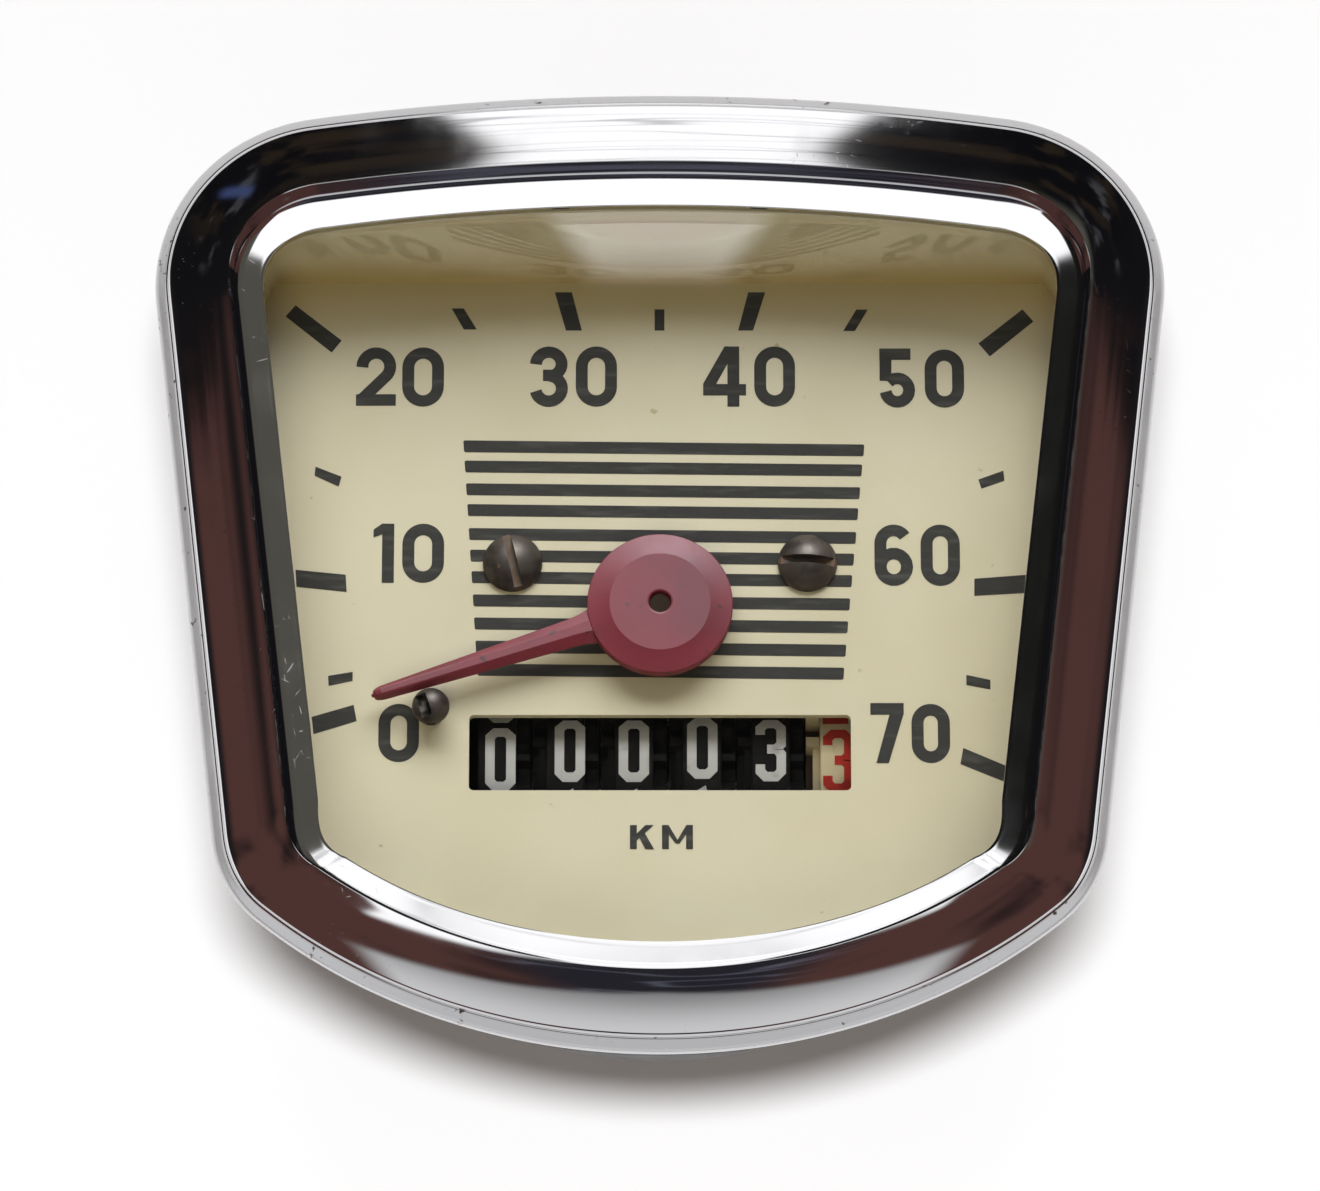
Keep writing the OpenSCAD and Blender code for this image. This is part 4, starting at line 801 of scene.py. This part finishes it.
def dial_glyph(kind, w, h, s):
    """Strokes (path, closed) and filled outlines of a mark in a box w by h; s is the width of a stroke."""
    rx, ry = (w - s) / 2, (w - s) / 2 * 1.04
    cx, top, foot = w / 2, h - s / 2 - ry, s / 2 + ry
    bowl = rx * 1.06
    if kind == "0":
        return [(arc(cx, top, rx, ry, 0, 180) + arc(cx, foot, rx, ry, 180, 360), True)], []
    if kind == "1":
        return [([(w - s / 2, 0), (w - s / 2, h)], False)], [
            [(0, 0.77 * h), (w - s / 2, 0.86 * h), (w - s / 2, h), (w - s, h), (0, 0.9 * h)]]
    if kind == "2":
        return [([(s / 2, 0.66 * h)] + arc(cx, top, rx, ry, 178, -38)[1:] + [(0.44 * s, 0.5 * s)], False),
                ([(0, s / 2), (w, s / 2)], False)], []
    if kind == "3":
        r = rx * 0.97
        return [(arc(cx, h - s / 2 - r, r, r, 180, -82), False),
                (arc(cx, s / 2 + rx, rx, rx * 1.02, 84, -168), False),
                ([(0.35 * w, 0.52 * h), (0.6 * w, 0.52 * h)], False)], []
    if kind == "4":
        return [([(0.705 * w, 0), (0.705 * w, h)], False), ([(0, 0.28 * h), (w, 0.28 * h)], False)], [
            [(0, 0.19 * h), (0.16 * w, 0.19 * h), (0.3 * w, 0.37 * h), (0.62 * w, 0.78 * h), (0.62 * w, h),
             (0.5 * w, h), (0, 0.38 * h)]]
    if kind == "5":
        return [([(0, h - 0.08 * h), (0.88 * w, h - 0.08 * h)], False),
                ([(s / 2 + 0.03, h), (s / 2, 0.46 * h)], False),
                (arc(cx, s / 2 + bowl, rx, bowl, 138, -172), False)], []
    if kind == "6":
        return [(arc(cx, s / 2 + bowl, rx, bowl, 0, 360)[:-1], True),
                ([(s / 2, foot)] + arc(cx, top, rx, ry, 180, 34), False)], []
    if kind == "7":
        return [([(0, h - 0.083 * h), (w, h - 0.083 * h)], False)], [
            [(w - 1.15 * s, h - 0.16 * h), (w, h - 0.16 * h), (0.54 * w, 0), (0.17 * w, 0)]]
    if kind == "K":
        return [([(s / 2, 0), (s / 2, h)], False)], [
            [(0.9 * s, 0.34 * h), (w - 0.03, h), (w - 1.25 * s, h), (0.9 * s, 0.62 * h)],
            [(0.36 * w, 0.55 * h), (0.62 * w, 0.66 * h), (w, 0), (w - 1.25 * s, 0)]]
    return [([(s / 2, 0), (s / 2, h)], False), ([(w - s / 2, 0), (w - s / 2, h)], False)], [
        [(0, h), (0.95 * s, h), (w / 2 + 0.3 * s, 0.24 * h), (w / 2 - 0.3 * s, 0.24 * h)],
        [(w - 0.95 * s, h), (w, h), (w / 2 + 0.3 * s, 0.24 * h), (w / 2 - 0.3 * s, 0.24 * h)]]


def glyph(shape, strokes, w, at, depth, proud=0.02, stagger=0.005):
    """Strokes and fills at slightly different heights, so that no two faces coincide."""
    lines, fills = strokes
    for i, (path, closed) in enumerate(lines):
        lay(shape, path, w, at, (depth[0] - stagger * i, depth[1] + stagger * i), closed)
    for i, outline in enumerate(fills):
        shape.prism(outline, at, (depth[0] - proud - stagger * i, depth[1] + proud + stagger * i))


# Corners of the ticks, boxes of the figures and the unit, and ends of the bars
TICKS = [
    ((-27.94, -8.82), (-24.58, -7.81), (-24.32, -9.16), (-27.76, -10.25)),
    ((-26.66, -5.37), (-24.69, -5.03), (-24.69, -5.79), (-26.61, -6.21)),
    ((-29.41, 3.6), (-25.36, 3.18), (-25.26, 1.73), (-29.31, 2.16)),
    ((-27.92, 12.4), (-25.8, 11.54), (-26.03, 10.69), (-27.99, 11.63)),
    ((-29.75, 26.32), (-25.95, 23.27), (-26.75, 22.23), (-30.55, 25.36)),
    ((-17, 26.05), (-16.02, 26.05), (-14.94, 24.23), (-16, 24.23)),
    ((-8.59, 27.45), (-7.2, 27.45), (-6.37, 24.14), (-7.67, 24.14)),
    ((-0.44, 25.97), (0.36, 25.97), (0.36, 24.14), (-0.44, 24.14)),
    ((7.2, 27.45), (8.59, 27.45), (7.59, 24.14), (6.37, 24.14)),
    ((16.02, 25.95), (16.95, 25.95), (15.9, 24.1), (14.94, 24.1)),
    ((29.58, 25.97), (30.46, 24.92), (26.87, 21.89), (25.95, 23.01)),
    ((25.79, 11.29), (27.83, 12.06), (27.9, 11.2), (26.03, 10.52)),
    ((25.36, 2.84), (29.65, 3.18), (29.62, 1.65), (25.34, 1.39)),
    ((24.61, -5.29), (26.54, -5.71), (26.53, -6.51), (24.6, -6.13)),
    ((24.29, -11.42), (28.12, -13.09), (28.02, -14.43), (24.04, -12.76)),
]
FIGURES = [
    ("2", -24.72, -21.48, 17.65, 22.67), ("0", -20.97, -17.58, 17.56, 22.67),
    ("3", -10.61, -7.49, 17.56, 22.75), ("0", -6.85, -3.5, 17.56, 22.75),
    ("4", 3.51, 7.0, 17.56, 22.75), ("0", 7.67, 10.99, 17.56, 22.75),
    ("5", 17.86, 20.75, 17.48, 22.49), ("0", 21.54, 24.74, 17.48, 22.49),
    ("1", -23.15, -21.48, 2.5, 7.52), ("0", -20.81, -17.44, 2.5, 7.52),
    ("6", 17.32, 20.43, 2.24, 7.44), ("0", 21.05, 24.22, 2.24, 7.44),
    ("0", -22.57, -19.31, -12.59, -7.73),
    ("7", 16.87, 19.55, -12.67, -7.73), ("0", 20.16, 23.24, -12.67, -7.73),
]
UNIT = [("K", -2.4, -0.48, -19.84, -17.85), ("M", 0.16, 2.63, -19.84, -17.85)]
BARS = [
    (-15.96, 14.15, 16.57, 13.8), (-15.84, 12.42, 16.39, 12.08), (-15.71, 10.47, 16.21, 10.13),
    (-15.59, 8.69, 16.04, 8.34), (-15.46, 6.65, 15.86, 6.31), (-15.34, 4.81, 15.68, 4.47),
    (-15.22, 2.98, 15.51, 2.64), (-15.09, 1.01, 15.33, 0.67), (-14.97, -0.94, 15.15, -1.27),
    (-14.85, -2.9, 14.98, -3.24), (-14.72, -4.84, 14.8, -5.18),
]


def dial_print():
    depth = (DIAL_TOP - 0.05, DIAL_TOP + 0.03)
    figure_w, unit_w, half, cut, slant = 0.97, 0.55, 0.5, 0.09, 0.06

    def flat(x, y, z):
        return (x, y, z)

    s = Shape()
    for tick in TICKS:
        s.prism(tick, flat, depth)
    for marks, w in ((FIGURES, figure_w), (UNIT, unit_w)):
        for kind, x0, x1, y0, y1 in marks:
            glyph(s, dial_glyph(kind, x1 - x0, y1 - y0, w), w, lambda x, y, z: (x + x0, y + y0, z), depth)
    for x0, y0, x1, y1 in BARS:
        s.prism([(x0, y0 + half - cut), (x0 + cut, y0 + half), (x1 - cut, y1 + half), (x1, y1 + half - cut),
                 (x1 - slant, y1 - half + cut), (x1 - cut - slant, y1 - half),
                 (x0 + cut + slant, y0 - half), (x0 + slant, y0 - half + cut)], flat, depth)
    make("dial_print", s, "housing", "dial_paint", material=INK)


# Number drums

def gear(n, root, tip, w_root, w_tip):
    out = []
    for i in range(n):
        a = 2 * math.pi * i / n
        for r, w in ((root, -w_root), (tip, -w_tip), (tip, w_tip), (root, w_root)):
            b = a + math.asin(w / 2 / r)
            out.append(polar(r, b))
    return out


def drum_digit(kind):
    """Centre lines of a block digit with cut corners, in a box that is centred on the origin."""
    w, h, c = 1.68, 4.53, 0.42
    l, r, t, b, m = -w / 2, w / 2, h / 2, -h / 2, 0.0
    box = [(l, b + c), (l, t - c), (l + c, t), (r - c, t), (r, t - c), (r, b + c), (r - c, b), (l + c, b)]
    upper = [(l, t - 1.0), (l, t - c), (l + c, t), (r - c, t), (r, t - c)]
    lower = [(r, b + c), (r - c, b), (l + c, b), (l, b + c), (l, b + 1.0)]
    return {
        "0": [(box, True)],
        "1": [([(l + 0.3, t - 0.7), (0.1, t), (0.1, b)], False)],
        "2": [(upper + [(r, m + 0.5), (l, b + 0.7), (l, b), (r, b)], False)],
        "3": [(upper + [(r, m + c), (r - c, m), (r, m - c)] + lower, False),
              ([(l + 0.55, m), (r - c, m)], False)],
        "4": [([(0.35, b), (0.35, t), (l, m - 0.7), (r + 0.2, m - 0.7)], False)],
        "5": [([(r, t), (l, t), (l, m + 0.3), (r - c, m + 0.3), (r, m + 0.3 - c)] + lower, False)],
        "6": [([(r, t - 1.0), (r, t - c), (r - c, t), (l + c, t), (l, t - c), (l, b + c), (l + c, b), (r - c, b),
                (r, b + c), (r, m - c + 0.2), (r - c, m + 0.2), (l, m + 0.2)], False)],
        "7": [([(l, t), (r, t), (r, t - 0.8), (l + 0.5, b)], False)],
        "8": [(box, True), ([(l, m), (r, m)], False)],
        "9": [([(l, b + 1.0), (l, b + c), (l + c, b), (r - c, b), (r, b + c), (r, t - c), (r - c, t), (l + c, t),
                (l, t - c), (l, m + c - 0.2), (l + c, m - 0.2), (r, m - 0.2)], False)],
    }[kind]


def drum(name, x, shown, lead, shift, beige):
    """A drum at x: the figure shown stands lead degrees up and shift to the right."""
    bore_r, hub_r, root_r, tip_r, disc_r, shade_r = 1.54, 3.0, 7.2, 8.64, 8.2, 7.9
    side, flank, disc_x, stroke = 1.5, 2.65, 2.1, 0.76
    node, slot = "drum_" + name, "drum_beige" if beige else "drum_black"
    x0, x1 = low(node)[0] - x, high(node)[0] - x

    def across(r, a, px):
        return (x + px, DRUM_Y + r * math.sin(a), DRUM_Z + r * math.cos(a))

    def plane(y, z, px):
        return (x + px, DRUM_Y + y, DRUM_Z + z)

    def spun(profile, n=144):
        return [[across(r, 2 * math.pi * i / n, px) for i in range(n)] for r, px in profile]

    half = [(hub_r, side), (9.1, 1.55), (9.24, 1.52), (DRUM_R, 1.42)]
    profile = [(bore_r, x0), (hub_r, x0)] + [(r, -px) for r, px in half]
    profile += half[::-1] + [(hub_r, x1), (bore_r, x1)]
    s = Shape(spun(profile), closed=True)
    if not beige:
        s.prism([(-b, -a) for a, b in gear(20, root_r, tip_r, 1.2, 0.56)][::-1], plane, (side, flank))

    # Carry disc with a notch, and its two teeth
    if name != "ten_thousands":
        tooth, mid, steps, notch = math.pi / 10, math.radians(162), 96, 0.3
        turns = [mid + notch * tooth + (2 * math.pi - 2 * notch * tooth) * i / steps for i in range(steps + 1)]
        disc = [polar(disc_r, a) for a in turns]
        disc += [polar(root_r, mid + k * tooth) for k in (-notch, 0, notch)]
        s.prism([(b, -a) for a, b in disc], plane, (-disc_x, -side))
        s.prism([polar(root_r, a) for a in turns[:-1]], plane, (-flank, -2.0))
        for a in (mid - tooth / 2, mid + tooth / 2):
            c, d = math.cos(a), math.sin(a)
            corners = [(6.5, -0.6), (tip_r, -0.4), (tip_r, 0.4), (6.5, 0.6)]
            tip = [(r * c - w * d, r * d + w * c) for r, w in corners]
            s.prism([(v, -u) for u, v in tip], plane, (-flank, -1.6))
    # Points this near the axis are tagged deep, for painted shade in the flank's recess
    deep = [1.0 if math.hypot(py - DRUM_Y, pz - DRUM_Z) < shade_r else 0.0 for _, py, pz in s.verts]
    make(node + "_turned", s, name, slot, [node], 30, {"deep": deep})

    figures = Shape()
    for k in range(10):
        turn = math.radians(lead - 36 * k)

        def at(px, py, r):
            return across(r, turn + py / DRUM_R, px + shift)

        for i, (path, closed) in enumerate(drum_digit(str((shown + k) % 10))):
            lay(figures, path, stroke, at, (DRUM_R - 0.06 - 0.01 * i, DRUM_R + 0.03 + 0.01 * i), closed)
    make(node + "_figures", figures, name, slot, material=DIGIT_RED if beige else DIGIT_WHITE)


for build in (bezel, spacer, gasket, case, nose, studs, nut, washer, dial_screws, stop_pin, needle, dial_print):
    build()

# Drums from the left: figure shown, degrees above the middle, and millimetres to the right
FIRST_X, PITCH = -13.1, 5.5
ROW = [
    ("ten_thousands", 0, -1.9, 0.28), ("thousands", 0, 2.7, 0.36), ("hundreds", 0, 2.7, 0.0),
    ("tens", 0, 4.25, 0.0), ("ones", 3, 3.0, 0.0), ("tenths", 3, -2.7, -0.08),
]
for place, (name, shown, lead, shift) in enumerate(ROW):
    drum(name, FIRST_X + PITCH * place, shown, lead, shift, name == "tenths")


# Floor, world, lamps and camera

def floor():
    """A pale floor with a faint warm glow, which only the camera, mirrors and glass see."""
    size, z, glow_strength = 4.0, -0.0002, 0.03
    mesh = bpy.data.meshes.new("floor")
    corners = [(-size, -size, z), (size, -size, z), (size, size, z), (-size, size, z)]
    mesh.from_pydata(corners, [], [(0, 1, 2, 3)])
    material = bpy.data.materials.new("floor")
    material.use_nodes = True
    t = material.node_tree
    shader = t.nodes["Principled BSDF"]
    shader.inputs["Base Color"].default_value = (0.9, 0.91, 0.92, 1)
    shader.inputs["Roughness"].default_value = 0.9
    path = add_node(t, "ShaderNodeLightPath").outputs
    mirrored = calculate(t, "MAXIMUM", path["Is Glossy Ray"], path["Is Transmission Ray"])
    seen = calculate(t, "MAXIMUM", path["Is Camera Ray"], mirrored)
    strength = calculate(t, "MULTIPLY", seen, glow_strength)
    glow = add_node(t, "ShaderNodeEmission", [("Strength", strength), ("Color", (1, 0.7, 0.35, 1))])
    both = add_node(t, "ShaderNodeAddShader", [(0, shader.outputs[0]), (1, glow.outputs[0])])
    feed(t, t.nodes["Material Output"].inputs["Surface"], both.outputs[0])
    mesh.materials.append(material)
    obj = bpy.data.objects.new("floor", mesh)
    scene.collection.objects.link(obj)
    return obj


def world():
    """A room in zones, laid over one another.

    A zone's place is given by its tilt, in degrees from overhead towards +y, and its side, the share of x.
    """
    studio = bpy.data.worlds.new("studio")
    scene.world = studio
    studio.use_nodes = True
    t = studio.node_tree

    def calc(operation, a, b=0.0):
        return calculate(t, operation, a, b)

    def plus(a, b):
        return calc("ADD", a, b)

    def minus(a, b):
        return calc("SUBTRACT", a, b)

    def times(first, *others):
        for factor in others:
            first = calc("MULTIPLY", first, factor)
        return first

    def ramp(value, a, b, lo=0.0, hi=1.0):
        return smooth_range(t, value, a, b, lo, hi)

    def over(under, fac, colour):
        return add_node(t, "ShaderNodeMix", [(0, fac), (6, under), (7, colour)], data_type="RGBA").outputs[2]

    def combine(*parts):
        return add_node(t, "ShaderNodeCombineXYZ", enumerate(parts)).outputs[0]

    def noise(vector, scale, detail):
        links = [("Vector", vector), ("Scale", scale), ("Detail", detail)]
        return add_node(t, "ShaderNodeTexNoise", links).outputs["Fac"]

    way = add_node(t, "ShaderNodeTexCoord").outputs["Generated"]
    x, y, z = add_node(t, "ShaderNodeSeparateXYZ", [(0, way)]).outputs
    side = calc("ABSOLUTE", x)
    tilt = calc("DEGREES", calc("ARCTAN2", y, z))
    turn = calc("DEGREES", calc("ARCSINE", side))

    # Red-brown flanks, dark in their upper parts, then dark and at last white far out
    colour = over((0.014, 0.011, 0.011, 1), ramp(noise(way, 3.0, 2.0), 0.28, 0.52), (0.092, 0.042, 0.036, 1))
    upper = plus(plus(y, times(side, 0.16)), times(noise(way, 8.0, 3.0), 0.02))
    colour = over(colour, ramp(upper, 0.375, 0.382), (0.007, 0.007, 0.008, 1))
    colour = over(colour, ramp(side, 0.8, 0.84), (0.012, 0.011, 0.013, 1))
    colour = over(colour, ramp(side, 0.89, 0.92), (1, 1, 1, 1))

    # Dark upper corners with grey wisps
    corner = over((0.005, 0.005, 0.006, 1), ramp(noise(way, 6.0, 2.0), 0.5, 0.66), (0.022, 0.016, 0.011, 1))
    colour = over(colour, times(ramp(tilt, 28, 48), ramp(side, 0.75, 0.5)), corner)
    place = times(ramp(tilt, 24, 32), ramp(tilt, 66, 58), ramp(side, 0.3, 0.36), ramp(side, 0.66, 0.58))
    wisp = ramp(noise(way, 7.0, 8.0), 0.54, 0.66)
    colour = over(colour, times(wisp, place), (0.055, 0.055, 0.06, 1))

    # Wall that is black on the left and olive on the right, and a slanting blue patch
    wall = over((0.008, 0.008, 0.007, 1), ramp(x, -0.05, 0.05), (0.088, 0.084, 0.07, 1))
    colour = over(colour, times(ramp(tilt, 38, 30), ramp(tilt, 5, 9), ramp(side, 0.36, 0.3)), wall)
    slope = calc("ABSOLUTE", plus(minus(tilt, 26.0), times(x, 60.0)))
    blue = times(ramp(slope, 4.2, 0.6), ramp(x, -0.3, -0.35), ramp(x, -0.54, -0.46))
    colour = over(colour, blue, (0.05, 0.07, 0.17, 1))

    # Dark place overhead with wavy lines
    waves = noise(combine(times(x, 5.0), times(tilt, 0.16)), 1.0, 1.0)
    waves = calc("ABSOLUTE", minus(waves, 0.5))
    lined = over((0.02, 0.02, 0.026, 1), ramp(waves, 0.04, 0.0), (0.1, 0.1, 0.13, 1))
    colour = over(colour, times(ramp(tilt, 6, 2), ramp(side, 0.17, 0.07)), lined)

    # Grey front that grows brighter downwards, and the pale ground in front of it
    front = ramp(plus(tilt, times(side, 28.0)), -16, -20)
    front = times(front, ramp(tilt, -48, -44), ramp(side, 0.47, 0.38))
    grey = ramp(tilt, -14, -44, 0.22, 0.72)
    colour = over(colour, front, combine(grey, grey, grey))
    colour = over(colour, ramp(tilt, -61, -66), (0.72, 0.72, 0.73, 1))

    # Bright strip from overhead to the back, where it is narrower and has grey lines
    near_half = plus(minus(0.19, times(tilt, 0.002)), ramp(tilt, 0, -12, 0.0, 0.075))
    far_half = ramp(tilt, 36, 86, 0.042, 0.088)
    half = add_node(t, "ShaderNodeMix", [(0, ramp(tilt, 32, 34)), (2, near_half), (3, far_half)]).outputs[0]
    lean = minus(times(side, 26.0), times(x, 12.0))
    strip = times(ramp(minus(half, side), -0.006, 0.008), ramp(plus(tilt, lean), 0, 3))
    lines = times(ramp(waves, 0.022, 0.004), ramp(tilt, 24, 26))
    colour = over(colour, strip, over((1.32, 1.32, 1.32, 1), lines, (0.7, 0.7, 0.71, 1)))

    # Dark round spot that the flat glass mirrors, and a bright pane above it
    off = minus(tilt, 18.0)
    off = calc("SQRT", plus(times(off, off), times(turn, turn)))
    colour = over(colour, ramp(off, 5.2, 4.4), (0.02, 0.02, 0.02, 1))
    pane = minus(ramp(tilt, 20.4, 21.4, 0.48, 1.1), turn)
    pane = times(ramp(pane, -0.22, 0.12), ramp(tilt, 20.3, 20.7), ramp(tilt, 23, 22.5))
    colour = over(colour, pane, (4.2, 4.2, 4.2, 1))

    # Pale horizon
    colour = over(colour, ramp(z, 0.2, 0.12), (0.85, 0.85, 0.85, 1))
    feed(t, t.nodes["Background"].inputs["Color"], colour)


def lamp(name, at, power, size, size_y=None):
    """An area lamp aimed at the middle of the part: a disc, or an ellipse if it has a second size."""
    middle = (0, 0, 0.05)
    data = bpy.data.lights.new(name, "AREA")
    data.shape, data.size, data.energy = "ELLIPSE" if size_y else "DISK", size, power
    if size_y:
        data.size_y = size_y
    obj = bpy.data.objects.new(name, data)
    obj.location = at
    obj.rotation_euler = (Vector(middle) - Vector(at)).to_track_quat("-Z", "Y").to_euler()
    obj.visible_glossy = obj.visible_camera = obj.visible_transmission = False
    scene.collection.objects.link(obj)
    return obj


def light(source, pieces, state):
    """Let a lamp light only some pieces, or all but them."""
    group = bpy.data.collections.new(source.name + "_" + state.lower())
    for piece in pieces:
        group.objects.link(piece)
    for entry in group.collection_objects:
        entry.light_linking.link_state = state
    source.light_linking.receiver_collection = group


def camera():
    """The photo's view, with its focal length and width in pixels."""
    tilt, far, aim_z = math.radians(18), 0.6, 0.057
    focal_px, width_px = 7500, 1320
    data = bpy.data.cameras.new("camera")
    data.sensor_width = 36
    data.lens = focal_px / width_px * data.sensor_width
    data.clip_start = 0.01
    obj = bpy.data.objects.new("camera", data)
    obj.location = (0, -far * math.sin(tilt), aim_z + far * math.cos(tilt))
    obj.rotation_euler = (tilt, 0, 0)
    scene.collection.objects.link(obj)
    scene.camera = obj


ground = floor()
world()
WINDOW_AT = (0.06, 0.74, 0.7)
key = lamp("key", WINDOW_AT, 14.4, 1.3, 0.62)
sheen = lamp("sheen", WINDOW_AT, 13.6, 0.62)
sheen.visible_glossy = True
sheen.data.cycles.use_multiple_importance_sampling = False
fill = lamp("fill", (-0.1, -0.6, 0.9), 2.2, 0.5)
fill.data.color = (1.0, 0.87, 0.58)
backlight = lamp("backlight", (0, -0.236, 1.1), 11.4, 0.13, 0.078)
shiny = [bpy.data.objects[n] for n in ("needle_moulded", "dial_screw_left", "dial_screw_right", "stop_domed")]
light(key, [ground] + shiny, "EXCLUDE")
light(sheen, shiny, "INCLUDE")
light(fill, [ground], "EXCLUDE")
light(backlight, [ground], "INCLUDE")
camera()
scene.view_settings.view_transform = "Standard"
